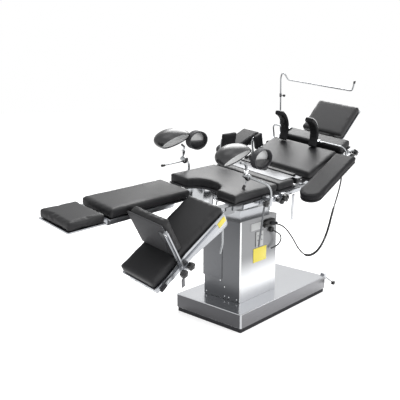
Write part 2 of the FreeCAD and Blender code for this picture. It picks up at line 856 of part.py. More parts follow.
def leg_frame(label, side, frame):
    """Leg section frame: swing eye, beams with rod sockets, top plate and side rail."""
    top = "leg_pad_top - pad_t - gap_fit - plate_t"
    height = top + " - leg_beam_z"
    y = "swing_y" if side > 0 else "-swing_y"
    eye_h = "-arm_h / 2 - gap_slide - leg_beam_z"
    eye = rod(["swing_x", y, "leg_beam_z"], "z", eye_h, "eye_r")
    link = box(["leg_frame_end - 4", mirrored("226", "28", side), "leg_beam_z"], ["44", "28", eye_h])
    run = "leg_frame_end - leg_frame_x"
    beams = [
        box(["leg_frame_x", mirrored(low, "leg_beam_w", side), "leg_beam_z"], [run, "leg_beam_w", height])
        for low in ("leg_outer_y", "leg_inner_y")
    ]
    inside = "leg_outer_y - leg_inner_y - leg_beam_w + 2"
    crosses = [
        box([x, mirrored("leg_inner_y + leg_beam_w - 1", inside, side), "leg_beam_z"], ["26", inside, height])
        for x in ("leg_frame_end - 26", "leg_frame_x + 60", "leg_frame_x")
    ]
    plate = box(
        ["leg_pad_x - leg_l", mirrored("leg_y + side_in", "leg_w - 2 * side_in", side), top],
        ["leg_l - 16", "leg_w - 2 * side_in", "plate_t"],
    )
    rail = rail_piece(
        "leg_rail_x", "leg_rail_l", "socket_z - 1",
        "leg_outer_y + leg_beam_w - 2", side, ("leg_rail_x + 40", "-320", "-140"),
    )
    tools = [rod(["swing_x", y, "-2 * eye_r"], "z", "2 * eye_r + 4 * gap_slide", "pin_r + gap_slide")]
    for row in (0, 1):
        spot = "socket_y + %d * socket_pitch" % row
        hole_y = spot if side > 0 else "-(%s)" % spot
        tools.append(rod(["leg_frame_x - 1", hole_y, "socket_z"], "x", "120", "rod_r + gap_slide"))
    return node(label, cut(fuse([eye, link, plate] + beams + crosses + rail), tools), frame)


def leg_cushion(tag, side, frame):
    """Cushion of one leg section."""
    low_y = size("leg_y") if side > 0 else -size("leg_y") - size("leg_w")
    spot = shift(size("leg_pad_x") - size("leg_l"), low_y, size("leg_pad_top") - size("pad_t"))
    cushion("leg_pad_" + tag, "leg_l", "leg_w", "pad_t", frame.multiply(spot))


def leg_section(tag, side, frame):
    """Everything of one leg section apart from its foot board."""
    leg_knuckle("leg_knuckle_" + tag, side, frame)
    leg_frame("leg_frame_" + tag, side, frame)
    leg_cushion(tag, side, frame)


def foot_board_far():
    """Foot board in line with the far leg, on two rods that slide in the leg frame."""
    start = "leg_pad_x - leg_l - foot_gap"
    pad_low = size("leg_pad_top") - size("foot_drop") - size("foot_pad_t")
    end = size("leg_pad_x") - size("leg_l") - size("foot_gap")
    plate_z = str(pad_low - size("gap_fit") - size("plate_t"))
    plate = box(
        [start + " - foot_l", "leg_y + side_in", plate_z],
        ["foot_l", "leg_w - 2 * side_in", "plate_t"],
    )
    rods = []
    for row in (0, 1):
        spot = "socket_y + %d * socket_pitch" % row
        rods.append(rod([start + " - foot_block_l", spot, "socket_z"], "x", "foot_rod_l", "rod_r"))
    block = box(
        [start + " - foot_block_l", "socket_y - 16", "socket_z - rod_r"],
        ["foot_block_l", "socket_pitch + 32", "rod_r - socket_z + 1"],
    )
    node("foot_frame_far", fuse([plate, block] + rods), LEG_FAR)
    spot = shift(end - size("foot_l"), size("leg_y"), pad_low)
    cushion("foot_pad_far", "foot_l", "leg_w", "foot_pad_t", LEG_FAR.multiply(spot))


def clamp_pieces(middle, rail_middle, side):
    """A rail clamp block around the rail: the outer block and the slot cut from it."""
    inner_face = "rail_y - 6"
    depth = "rail_t + 6 + clamp_out"
    block = box(
        [middle + " - clamp_l / 2", mirrored(inner_face, depth, side), rail_middle + " - clamp_h / 2"],
        ["clamp_l", depth, "clamp_h"],
    )
    slot_y = "rail_y - gap_slide"
    slot = box(
        [middle + " - clamp_l", mirrored(slot_y, "rail_t + 2 * gap_slide", side),
         rail_middle + " - rail_h / 2 - gap_slide"],
        ["2 * clamp_l", "rail_t + 2 * gap_slide", "rail_h + 2 * gap_slide"],
    )
    mouth = box(
        [middle + " - clamp_l", mirrored("rail_y - 8", "9", side), rail_middle + " - clamp_mouth / 2 - 1"],
        ["2 * clamp_l", "9", "clamp_mouth + 2"],
    )
    return block, [slot, mouth]


def knob_pieces(middle, start, height, side, radius):
    """A round knob on a short screw, turned about the y axis."""
    post_y = mirrored(start, "14", side)
    head_y = mirrored(start + " + 12", "knob_t", side)
    return [
        rod([middle, post_y, height], "y", "14", "knob_post_r"),
        rod([middle, head_y, height], "y", "knob_t", radius),
    ]


def foot_board_near():
    """The same foot board clamped upright on the rail of the near leg."""
    front = size("board_x")
    plate_x = front - size("board_pad_t") - size("gap_fit") - size("plate_t")
    plate = box(
        [str(plate_x), "-leg_y - leg_w + side_in", "board_z"],
        ["plate_t", "leg_w - 2 * side_in", "board_h"],
    )
    bar = box([str(plate_x - 8), "-rail_y - rail_t - clamp_out", "-20"], ["8", "rail_t + clamp_out - 2", "280"])
    bridge = box([str(plate_x - 8), "-rail_y - 3", "board_z + 20"], ["8.5", "40", "board_h - 60"])
    block, tools = clamp_pieces("board_rail_x", "socket_z - 1 + rail_h / 2", -1)
    body = cut(fuse([plate, bar, bridge, block]), tools)
    knobs = []
    start = "rail_y + rail_t + clamp_out + gap_fit"
    for spot in ("board_rail_x + 16", "board_rail_x - 38"):
        knobs += knob_pieces(spot, start, "socket_z + rail_h / 2", -1, "knob_r")
    yoke = box(
        ["board_rail_x - 44", "-(%s) - 5" % start, "socket_z + rail_h / 2 - 6"], ["66", "6", "12"],
    )
    node("foot_frame_near", fuse([body, yoke] + knobs), LEG_NEAR)
    frame = LEG_NEAR.multiply(shift(front, -size("leg_y") - size("leg_w"), size("board_z"), turn("y", -90)))
    cushion("foot_pad_near", "board_h", "leg_w", "board_pad_t", frame)


# Back and head sections

def back_frame():
    """Frame of the back section with its hinge barrels and the head hinge pin."""
    top = "-pad_t - gap_fit - plate_t - gap_fit"
    low = top + " - beam_h"
    pieces = []
    for side in (1, -1):
        y = mirrored("back_beam_y", "back_beam_w", side)
        pieces.append(box(["back_hinge_x", y, low], ["back_frame_end - back_hinge_x", "back_beam_w", "beam_h"]))
        pieces.append(rod(["back_hinge_x", y, "back_hinge_z"], "y", "back_beam_w", "barrel_r"))
        head_y = mirrored("head_barrel_y + 2", "10", side)
        pieces.append(box(["back_frame_end - 1", head_y, low], ["36", "10", "beam_h"]))
    for x in ("150", "330", "back_frame_end - cross_w"):
        pieces.append(box([x, "-back_beam_y - 1", low], ["cross_w", "2 * back_beam_y + 2", "beam_h"]))
    pin_x, pin_z = head_hinge_in_back()
    pieces.append(rod(
        [str(pin_x), "-head_barrel_y - 12", str(pin_z)], "y", "2 * head_barrel_y + 24", "head_pin_r",
    ))
    bores = []
    for side in (1, -1):
        y = mirrored("back_beam_y - 1", "back_beam_w + 2", side)
        bores.append(rod(["back_hinge_x", y, "back_hinge_z"], "y", "back_beam_w + 2", "pin_r + gap_slide"))
    return node("back_frame", cut(fuse(pieces), bores), BACK)


def head_hinge_in_back():
    """Head hinge position carried over into the back section's frame."""
    lean = math.radians(size("head_rest"))
    x = size("head_x") + size("head_hinge_x") * math.cos(lean) - size("head_hinge_z") * math.sin(lean)
    z = size("head_hinge_x") * math.sin(lean) + size("head_hinge_z") * math.cos(lean)
    return x, z


def back_plate_and_pads():
    """Black plate and the two cushions of the back section."""
    plate = box(
        ["0", "-top_w / 2 + side_in", "-pad_t - gap_fit - plate_t"],
        ["back_upper_x + back_upper_l", "top_w - 2 * side_in", "plate_t"],
    )
    node("back_plate", rounded(plate, "side_in", along("z")), BACK)
    half = -size("top_w") / 2
    thick = size("pad_t")
    cushion("back_pad_lower", "back_l", "top_w", "pad_t", BACK.multiply(shift(0, half, -thick)))
    upper_spot = shift(size("back_upper_x"), half, -thick)
    cushion("back_pad_upper", "back_upper_l", "top_w", "pad_t", BACK.multiply(upper_spot))


def back_rails():
    """Side rails of the back section."""
    low = "-pad_t - gap_fit - plate_t - gap_fit - beam_h / 2 - rail_h / 2"
    pieces = []
    for side in (-1, 1):
        pieces += rail_piece(
            "back_rail_x", "back_rail_l", low, "back_beam_y + back_beam_w", side,
            ("back_rail_x + 20", "230", "back_rail_x + back_rail_l - 20"),
        )
    return node("back_rails", fuse(pieces), BACK)


def head_section():
    """Head frame with its hinge barrel, base plate and cushion."""
    plate_z = "-head_pad_t - gap_fit - plate_t"
    barrel = rod(["head_hinge_x", "-head_barrel_y", "head_hinge_z"], "y", "2 * head_barrel_y", "head_barrel_r")
    arms = [
        box(["head_hinge_x", y, "head_hinge_z - 8"], ["130", "head_arm_w", plate_z + " - head_hinge_z + 9"])
        for y in ("head_arm_y", "-head_arm_y - head_arm_w")
    ]
    bore = rod(["head_hinge_x", "-top_w", "head_hinge_z"], "y", "2 * top_w", "head_pin_r + gap_slide")
    plate = box(
        ["4", "-head_pad_w / 2 + side_in", plate_z],
        ["head_pad_l - 4 + side_in", "head_pad_w - 2 * side_in", "plate_t"],
    )
    plate = rounded(plate, "pad_corner_r", along("z"))
    node("head_frame", cut(fuse([barrel, plate] + arms), [bore]), HEAD)
    spot = shift(0, -size("head_pad_w") / 2, -size("head_pad_t"))
    cushion("head_pad", "head_pad_l", "head_pad_w", "head_pad_t", HEAD.multiply(spot))


# Leg holders

def rail_middle(section):
    """Height of the middle of a section's rail as an expression."""
    if section == "seat":
        return "(pad_top - pad_t - rail_below + rail_h * 1.5)"
    return "(-pad_t - gap_fit - plate_t - gap_fit - beam_h / 2)"


def trough(length):
    """A scoop with rounded ends lying along x, open above, centred on the origin."""
    outer = rod(["-%s / 2" % length, "0", "0"], "x", length, "trough_r")
    inner = rod(["-%s" % length, "0", "0"], "x", "2 * " + length, "trough_r - trough_t")
    outline = box(
        ["-%s / 2" % length, "-2 * trough_r", "trough_rise - 3 * trough_r"],
        [length, "4 * trough_r", "3 * trough_r"],
    )
    outline = rounded(outline, "trough_corner_r", along("y"))
    return common([cut(outer, [inner]), outline])


CLAMPS = {"seat": [], "back": []}


def rod_clamp(section, x, side, bore_r="holder_rod_r", handle_way=-1):
    """Add a rail clamp with an upright bore for an accessory rod."""
    middle = rail_middle(section)
    block, tools = clamp_pieces(str(x), middle, side)
    y = "holder_y" if side > 0 else "-holder_y"
    boss = rod([str(x), y, middle + " - clamp_h / 2"], "z", "clamp_h", "clamp_out - 4")
    tools.append(rod([str(x), y, middle + " - clamp_h"], "z", "2 * clamp_h", bore_r + " + gap_slide"))
    body = cut(fuse([block, boss]), tools)
    arm_x = "%s - 66" % x if handle_way < 0 else "%s + 16" % x
    arm = box([arm_x, mirrored("rail_y + rail_t + 2", "clamp_out", side), middle + " - 8"], ["50", "clamp_out", "16"])
    handle_x = "%s + %d" % (x, 54 * handle_way)
    handle = knob_pieces(handle_x, "rail_y + rail_t + clamp_out", middle, side, "knob_r")
    CLAMPS[section].append(fuse([body, arm] + handle))


def rail_clamps():
    """The rail clamps of the seat and of the back, one node each."""
    node("seat_rail_clamps", fuse(CLAMPS["seat"]), TOP)
    node("back_rail_clamps", fuse(CLAMPS["back"]), BACK)


def leg_holder(tag, x, side, rod_points, trough_at, trough_turn, strap_at):
    """One leg holder: clamp, bent rod with its ball, trough on its stem, strap loop."""
    rod_clamp("seat", x, side)
    bent = tube("holder_bent_" + tag, rod_points, size("holder_rod_r"), None, 0.35)
    end = [str(number) for number in rod_points[-1]]
    hub = rod([end[0], end[1] + " - holder_hub_w / 2", end[2]], "y", "holder_hub_w", "holder_hub_r")
    eye_y = end[1] + " + holder_hub_w / 2 + gap_slide"
    pin = rod(end, "y", "holder_hub_w / 2 + holder_eye_w + 3 * gap_slide", "holder_pin_r")
    node("holder_rod_" + tag, fuse([bent, hub, pin]), TOP)
    local = shift(*trough_at, turn("y", trough_turn))
    shell_frame = TOP.multiply(local)
    eye_middle = rod_points[-1][1] + (size("holder_hub_w") + size("holder_eye_w")) / 2 + size("gap_slide")
    eye_top = rod_points[-1][2] + size("holder_eye_r") - 1
    foot = Vector(rod_points[-1][0], eye_middle, eye_top)
    keel = -size("trough_r") - size("gap_fit")
    saddle = box(["-30", "-14", str(keel - 5)], ["60", "28", "9"])
    shell = fuse([trough("trough_l"), saddle])
    shell.Placement = local
    neck = local.multVec(Vector(0, 0, keel - 3))
    below = local.multVec(Vector(0, 0, keel - 26))
    knee = foot + Vector(0, 0, 28)
    stem = tube("holder_neck_" + tag, [tuple(neck), tuple(below), tuple(knee), tuple(foot)], size("holder_rod_r") - 1, None)
    eye = rod([end[0], eye_y, end[2]], "y", "holder_eye_w", "holder_eye_r")
    bore = rod([end[0], eye_y + " - 1", end[2]], "y", "holder_eye_w + 2", "holder_pin_r + gap_slide")
    node("holder_trough_" + tag, cut(fuse([shell, stem, eye]), [bore]), TOP)
    strap(tag, strap_at, shell_frame)


def strap(tag, strap_at, frame):
    """Closed strap loop hanging from the end of the trough."""
    outer = box(["0", "-strap_w / 2", "-strap_h / 2"], ["strap_l", "strap_w", "strap_h"])
    item = rounded(outer, "strap_round_r", along("y"))
    hole = box(
        ["strap_t + 14", "-strap_w", "-strap_h / 2 + strap_t"],
        ["strap_l - 2 * strap_t - 28", "2 * strap_w", "strap_h - 2 * strap_t"],
    )
    return node("holder_strap_" + tag, cut(item, [hole]), frame.multiply(shift(*strap_at)))


def leg_holders():
    """Near and far leg holders on the seat rails."""
    y = size("holder_y")
    near_x = size("holder_near_x")
    far_x = size("holder_far_x")
    near = [(near_x, -y, 30), (near_x, -y, 172), (near_x - 92, -186, 214)]
    leg_holder("near", "holder_near_x", -1, near, (-367, -176, 400), 8, (110.3, 0, -55))
    far = [(far_x, y, -6), (far_x, y, 168), (far_x - 86, 250, 214)]
    leg_holder("far", "holder_far_x", 1, far, (-452, 206, 402), 8, (110.3, 0, -55))


# Arm boards

def arm_frame_near():
    """Frame of the near arm board about its pivot."""
    return BACK.multiply(shift(272, -330, -28, turn("z", size("arm_rest"))))


def arm_board(tag, frame, length):
    """Arm board: plate with a pivot bush, and a slotted round-ended cushion."""
    plate = box(["-%s + 30" % length, "-arm_board_w / 2 + 6", "-plate_t"], [length + " - 6", "arm_board_w - 12", "plate_t"])
    bush = rod(["0", "0", "-plate_t - 18"], "z", "18.5", "pin_r + 7")
    body = cut(fuse([plate, bush]), [rod(["0", "0", "-60"], "z", "60 - plate_t", "pin_r + gap_slide")])
    node("arm_plate_" + tag, body, frame)
    pad = padded_body("arm_pad_" + tag, length, "arm_board_w", "arm_pad_t")
    body_fillet(pad, "arm_board_w / 2 - 1", lambda edge: along("z")(edge) and edge.CenterOfMass.x < 1)
    top = pad.Shape.BoundBox.ZMax
    body_fillet(pad, "pad_edge_r", lambda edge: upper(edge, top))
    spot = shift(30 - size("arm_board_l" if tag == "near" else "arm_far_l"), -size("arm_board_w") / 2, size("gap_fit"))
    node("arm_pad_" + tag, pad, frame.multiply(spot))


def arm_clamp_near():
    """Clamp on the near back rail with the bracket and the pivot pin."""
    middle = rail_middle("back")
    block, tools = clamp_pieces("272", middle, -1)
    shelf = box(["250", "-350", middle + " + 6"], ["44", "68", "10"])
    pin = rod(["272", "-330", middle + " + 6"], "z", "-28 - plate_t - 1 - (%s + 6)" % middle, "pin_r")
    body = cut(fuse([block, shelf, pin]), tools)
    knob = knob_pieces("272", "rail_y + rail_t + clamp_out - 1", middle + " - 10", -1, "knob_r")
    CLAMPS["back"].append(fuse([body] + knob))


def arm_board_far():
    """Raised arm board on a bent post from the far back rail."""
    rod_clamp("back", 205, 1, handle_way=1)
    y = size("holder_y")
    far_y = size("arm_far_y")
    low = size("arm_far_z") - size("plate_t") - 27
    route = [(205, y, -190), (205, y, low), (205, far_y, low)]
    bent = tube("arm_post_bent", route, size("holder_rod_r"), None, 0.2)
    head = rod(["205", "arm_far_y", str(low - 9)], "z", "18", "pin_r + 6")
    pin = rod(["205", "arm_far_y", str(low)], "z", "26", "pin_r")
    knob = rod(["205", "arm_far_y", str(low - 30)], "z", "22", "knob_r")
    node("arm_post_far", fuse([bent, head, pin, knob]), BACK)
    frame = BACK.multiply(shift(205, far_y, size("arm_far_z")))
    arm_board("far", frame, "arm_far_l")


# Supports on the rails

def lateral_support(section, frame, x, side, height, pad_y):
    """Side support: clamp, bent rod and a flat cushion on a steel back."""
    rod_clamp(section, x, side)
    y = side * size("holder_y")
    base_z = -20 if section == "seat" else -150
    points = [(x, y, base_z), (x, y, height + 10), (x, side * (pad_y + 13), height + 10)]
    bent = tube("support_bent_" + section, points, size("holder_rod_r"), None, 0.4)
    plate_y = str(side * (pad_y + 13) - 3)
    back = box([str(x - 30), plate_y, str(height - 26)], ["60", "6", "72"])
    node("support_rod_" + section, fuse([bent, back]), frame)
    low_y = str(side * (pad_y + 10 - side * 0.3) - (size("support_t") if side > 0 else 0))
    width = size("support_%s_w" % section)
    pad = box([str(x - width / 2), low_y, str(height - 40)], [str(width), "support_t", "support_h"])
    node("support_pad_" + section, rounded(pad, "pad_edge_r", along("y")), frame)


def shoulder_support(tag, side, x, pad_y, height, handle_way):
    """Shoulder support: clamp, bent rod, steel block and a curved cushion."""
    rod_clamp("back", x, side, "shoulder_rod_r", handle_way)
    y = side * size("holder_y")
    face = size("shoulder_x")
    middle_x = str(face - size("shoulder_r"))
    low_y = str(side * pad_y - size("shoulder_w") / 2)
    points = [(x, y, -170), (x, y, height), (x, side * pad_y, height)]
    bent = tube("shoulder_bent_" + tag, points, size("shoulder_rod_r"), None, 0.22)
    block = box(
        ["shoulder_x - 14", str(side * pad_y - 14), str(height - 9)],
        ["%s - shoulder_x + 24" % x, "28", "18"],
    )
    seat = rod([middle_x, low_y, "shoulder_z"], "y", "shoulder_w", "shoulder_r + gap_fit")
    node("shoulder_rod_" + tag, fuse([bent, cut(block, [seat])]), BACK)
    outer = rod([middle_x, low_y, "shoulder_z"], "y", "shoulder_w", "shoulder_r")
    inner = rod([middle_x, low_y + " - 1", "shoulder_z"], "y", "shoulder_w + 2", "shoulder_r - shoulder_t")
    keep = box([middle_x, low_y + " - 1", "5"], ["shoulder_r + 1", "shoulder_w + 2", "shoulder_h"])
    part = doc.addObject("Part::MultiCommon", "shoulder_pad_" + tag)
    part.Shapes = [cut(outer, [inner]), keep]
    node("shoulder_pad_" + tag, part, BACK)


def screen_frame():
    """Screen frame: post from the far rail, cross bar and the clamp on the rail."""
    x = size("screen_x")
    rod_clamp("back", "screen_x", 1, "screen_r", handle_way=1)
    y = size("holder_y")
    top = size("screen_z")
    span = size("screen_span")
    lean = size("screen_lean")
    points = [
        (x, y, -180), (x, y, -10), (x + lean, y, top), (x + lean, y - span, top + 2),
        (x + lean, y - span - 16, top + 44),
    ]
    return node("screen_bow", tube("screen_bent", points, size("screen_r"), None, 0.2), BACK)


# Pendant and cords

def pendant():
    """Hand control hung on the near back rail."""
    x = 298
    top = "-pad_t - 34"
    shell = box([str(x), "-rail_y - rail_t - gap_fit - 8 - pendant_t", top + " - pendant_h + 20"], ["pendant_w", "pendant_t", "pendant_h"])
    hook = box([str(x + 8), "-rail_y - rail_t - gap_fit - 9", top + " - 30"], ["pendant_w - 16", "9", "40"])
    over = box([str(x + 8), "-rail_y - rail_t - gap_fit - 4", "-56.3"], ["pendant_w - 16", "rail_t + gap_fit + 4", "4"])
    tie = box([str(x + 8), "-rail_y - rail_t - gap_fit - 4", top + " - 30"], ["pendant_w - 16", "4", "-52.3 - (%s - 30)" % top])
    return node("hand_control", fuse([shell, hook, over, tie]), BACK)


def cords():
    """Coiled pendant cord, the short loop on the column and the leg cable."""
    start = BACK.multVec(Vector(319, -286.3, -168.4))
    below = BACK.multVec(Vector(319, -286.3, -222))
    route = [
        tuple(start), tuple(below), (434, -300, 560), (410, -292, 462), (360, -286, 372),
        (290, -276, 318), (200, -262, 312), (124, -250, 372), (70, -240, 452), (6, -228, 528), (-34, -206, 559),
        (-60, -164, 562),
    ]
    tube("hand_control_cord", route, size("coil_r"), WORLD)
    loop = [(-34, -160, 512), (-6, -172, 496), (30, -176, 470), (38, -172, 434), (4, -166, 404), (-44, -156, 398)]
    tube("column_loop_cord", loop, size("short_cord_r"), WORLD)


def write_parts():
    """Check every object and write each node to its own file."""
    doc.recompute()
    for item in doc.Objects:
        bad = [word for word in item.State if word in ("Invalid", "Error")]
        assert not bad, "%s is %s" % (item.Label, item.State)
    os.makedirs("parts", exist_ok=True)
    for item in NODES:
        shape = item.Shape
        assert not shape.isNull() and shape.isValid(), item.Label
        shape.exportStep("parts/%s.step" % item.Label)
    print(len(NODES), "nodes")


chassis()
skirt()
base_cover()
brake()
column_covers()
column_fittings()
column_head()
tilt_yoke()
seat_frame()
seat_plate()
seat_front_cushion()
cushion("seat_pad_rear", "seat_rear_l", "top_w", "pad_t", TOP.multiply(shift(
    size("seat_x") + size("seat_front_l") + size("seam_gap"), -size("top_w") / 2, size("pad_top") - size("pad_t"))))
drain_tray()
seat_rails()
kidney_bridge()
leg_section("far", 1, LEG_FAR)
leg_section("near", -1, LEG_NEAR)
foot_board_far()
foot_board_near()
back_frame()
back_plate_and_pads()
back_rails()
head_section()
leg_holders()
arm_clamp_near()
arm_board("near", arm_frame_near(), "arm_board_l")
arm_board_far()
lateral_support("seat", TOP, 113, 1, 280, 238)
lateral_support("back", BACK, 122, 1, 45, 238)
shoulder_support("far", 1, 372, 150, 60, -1)
shoulder_support("near", -1, 366, 80, 15, 1)
screen_frame()
rail_clamps()
pendant()
cords()
write_parts()
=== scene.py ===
"""Looks of the operating table: finishes, cushions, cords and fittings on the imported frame."""

import logging
import math
from dataclasses import dataclass
from enum import Enum
from typing import Callable, Sequence

import bmesh
import bpy
from mathutils import Matrix, Vector

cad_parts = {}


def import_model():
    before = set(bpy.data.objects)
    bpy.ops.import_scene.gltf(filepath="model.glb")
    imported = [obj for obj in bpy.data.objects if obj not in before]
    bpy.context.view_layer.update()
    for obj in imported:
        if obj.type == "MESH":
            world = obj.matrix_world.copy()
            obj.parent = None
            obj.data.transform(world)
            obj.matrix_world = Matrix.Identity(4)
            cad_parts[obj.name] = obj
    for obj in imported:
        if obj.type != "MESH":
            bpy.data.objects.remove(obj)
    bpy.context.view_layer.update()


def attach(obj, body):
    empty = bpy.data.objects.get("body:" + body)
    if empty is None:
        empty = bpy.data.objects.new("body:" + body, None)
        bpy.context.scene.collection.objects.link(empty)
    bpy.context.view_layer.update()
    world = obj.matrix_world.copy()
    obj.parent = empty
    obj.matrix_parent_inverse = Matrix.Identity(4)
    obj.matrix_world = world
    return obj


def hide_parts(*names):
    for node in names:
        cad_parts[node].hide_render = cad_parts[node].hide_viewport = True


LOG = logging.getLogger("operating_table")
MM = 0.001
SMOOTH_ANGLE = 38.0
WHITE = (1, 1, 1, 1)
Point = Sequence[float]
Spot = tuple[float, float, float]
Socket = bpy.types.NodeSocket
Shape = tuple


# Frames of the tilted sections

def shift(x: float, y: float, z: float) -> Matrix:
    """Return a move by x, y and z millimetres."""
    return Matrix.Translation(Vector((x, y, z)) * MM)


def turn(axis: str, degrees: float) -> Matrix:
    """Return a turn about one axis.

    Args:
        axis: X, Y or Z.
        degrees: the angle, positive by the right-hand rule.

    Returns:
        The turn as a 4 by 4 matrix.
    """
    return Matrix.Rotation(math.radians(degrees), 4, axis)


@dataclass(frozen=True)
class TableFrames:
    """Where each section of the table stands at rest, all from the tilt centre outwards."""

    tilt_x: float = -150.0
    tilt_z: float = 717.0
    pitch: float = 2.8
    roll: float = 9.0
    back_x: float = 337.5
    back_z: float = 158.0
    back_rise: float = 18.7
    head_x: float = 525.5
    head_rise: float = 24.6
    leg_x: float = -450.0
    leg_z: float = 62.0
    near_leg_fall: float = 31.2

    @property
    def world(self) -> Matrix:
        """The floor under the middle of the base."""
        return Matrix.Identity(4)

    @property
    def top(self) -> Matrix:
        """The seat section."""
        return shift(self.tilt_x, 0, self.tilt_z) @ turn("Y", -self.pitch) @ turn("X", self.roll)

    @property
    def back(self) -> Matrix:
        """The back section, from the start of its cushion."""
        return self.top @ shift(self.back_x, 0, self.back_z) @ turn("Y", -self.back_rise)

    @property
    def head(self) -> Matrix:
        """The head section, from the start of its cushion."""
        return self.back @ shift(self.head_x, 0, 0) @ turn("Y", -self.head_rise)

    @property
    def leg_far(self) -> Matrix:
        """The far leg section, from the leg hinge."""
        return self.top @ shift(self.leg_x, 0, self.leg_z)

    @property
    def leg_near(self) -> Matrix:
        """The near leg section, from the leg hinge."""
        return self.leg_far @ turn("Y", -self.near_leg_fall)


FRAMES = TableFrames()


# Finishes

class Slot(Enum):
    """Material slots, one carried by each finish."""

    POLISHED = "polished_steel"
    BRUSHED = "brushed_steel"
    PLASTIC = "black_plastic"
    RUBBER = "black_rubber"
    LEATHER = "black_leather"
    BOARD = "black_board"
    PLATE = "yellow_plate"
    STRAP = "strap"
    CABLE = "cable"


class Grain(Enum):
    """The axis along which a brushed finish was drawn."""

    X = (0.6, 60.0, 60.0)
    Y = (60.0, 0.6, 60.0)
    Z = (60.0, 60.0, 0.6)


def set_inputs(node: bpy.types.Node, **values: object) -> bpy.types.Node:
    """Set a node's plain inputs.

    Args:
        node: the node.
        values: a value for each input, named in small letters with underscores.

    Returns:
        The node.
    """
    for name, value in values.items():
        title = name.replace("_", " ").title().replace("Ior", "IOR")
        node.inputs[title].default_value = value
    return node


class Graph:
    """A material's node tree with short ways to add and join nodes."""

    def __init__(self, name: str) -> None:
        """Start a material with a Principled shader.

        Args:
            name: the material's name.
        """
        self.material = bpy.data.materials.new(name)
        self.material.use_nodes = True
        self.tree = self.material.node_tree
        self.shader = self.tree.nodes["Principled BSDF"]

    def add(self, kind: str, **values: object) -> bpy.types.Node:
        """Add a node and set its properties.

        Args:
            kind: the node's type name.
            values: properties set on the node.

        Returns:
            The new node.
        """
        node = self.tree.nodes.new(kind)
        for name, value in values.items():
            setattr(node, name, value)
        return node

    def join(self, source: Socket, target: Socket) -> None:
        """Link one socket to another."""
        self.tree.links.new(source, target)

    def coordinates(self, scale: Point = (1, 1, 1)) -> Socket:
        """Return object coordinates scaled per axis."""
        where = self.add("ShaderNodeTexCoord")
        mapping = set_inputs(self.add("ShaderNodeMapping"), scale=scale)
        self.join(where.outputs["Object"], mapping.inputs["Vector"])
        return mapping.outputs["Vector"]

    def surface(self, group: str, scale: Point = (1, 1, 1), **inputs: float) -> bpy.types.Node:
        """Place a shared surface group on scaled object coordinates.

        Args:
            group: name of the shared node group.
            scale: scale of the coordinates per axis.
            inputs: values for the group's inputs.

        Returns:
            The group node.
        """
        node = self.add("ShaderNodeGroup", node_tree=shared(group))
        self.join(self.coordinates(scale), node.inputs["Vector"])
        return set_inputs(node, **inputs)

    def spread(self, source: Socket, low: float, high: float) -> Socket:
        """Map a 0 to 1 value onto a range and return the result."""
        ramp = set_inputs(self.add("ShaderNodeMapRange"), to_min=low, to_max=high)
        self.join(source, ramp.inputs["Value"])
        return ramp.outputs["Result"]

    def tint(self, source: Socket, colour: Point, contrast: float) -> Socket:
        """Mix a colour with a darker or lighter one by a 0 to 1 value."""
        dark = tuple(c * (1 - contrast) for c in colour) + (1.0,)
        light = tuple(min(1.0, c * (1 + contrast)) for c in colour) + (1.0,)
        mix = set_inputs(self.add("ShaderNodeMix", data_type="RGBA"), a=dark, b=light)
        self.join(source, mix.inputs["Factor"])
        return mix.outputs["Result"]

    def painted_height_shade(self, colour: Socket, heights: tuple[float, float], share: float) -> Socket:
        """Darken a colour towards the higher of two heights of the world: painted shade.

        Args:
            colour: the colour below.
            heights: height, in metres, where the painted shade starts and ends.
            share: what is left of the colour at the end.

        Returns:
            The colour with its painted shade.
        """
        where = self.add("ShaderNodeTexCoord")
        split = self.add("ShaderNodeSeparateXYZ")
        self.join(where.outputs["Object"], split.inputs["Vector"])
        ramp = self.add("ShaderNodeMapRange", interpolation_type="SMOOTHSTEP")
        set_inputs(ramp, from_min=heights[0], from_max=heights[1], to_min=1.0, to_max=share)
        self.join(split.outputs["Z"], ramp.inputs["Value"])
        scale = self.add("ShaderNodeVectorMath", operation="SCALE")
        self.join(colour, scale.inputs["Vector"])
        self.join(ramp.outputs["Result"], scale.inputs["Scale"])
        return scale.outputs["Vector"]

    def bump(self, source: Socket, strength: float, distance: float) -> None:
        """Raise the surface by a height value.

        Args:
            source: the height.
            strength: share of the bump that shows.
            distance: height of the bump in metres.
        """
        node = set_inputs(self.add("ShaderNodeBump"), strength=strength, distance=distance)
        self.join(source, node.inputs["Height"])
        self.join(node.outputs["Normal"], self.shader.inputs["Normal"])

    def paint(self, colour: Socket, rough: Socket | None = None) -> None:
        """Join a colour and, where it is given, a roughness to the shader."""
        self.join(colour, self.shader.inputs["Base Color"])
        if rough:
            self.join(rough, self.shader.inputs["Roughness"])


def new_group(
    name: str, *values: str,
) -> tuple[bpy.types.NodeTree, bpy.types.Node, bpy.types.Node]:
    """Start a shared node group with Fine and Cloud out.

    Args:
        name: the group's name.
        values: names of its plain inputs beside Vector.

    Returns:
        The group, its input node and its output node.
    """
    group = bpy.data.node_groups.new(name, "ShaderNodeTree")
    face = group.interface
    face.new_socket("Vector", in_out="INPUT", socket_type="NodeSocketVector")
    for value in values:
        face.new_socket(value, in_out="INPUT", socket_type="NodeSocketFloat")
    for value in ("Fine", "Cloud"):
        face.new_socket(value, in_out="OUTPUT", socket_type="NodeSocketFloat")
    return group, group.nodes.new("NodeGroupInput"), group.nodes.new("NodeGroupOutput")


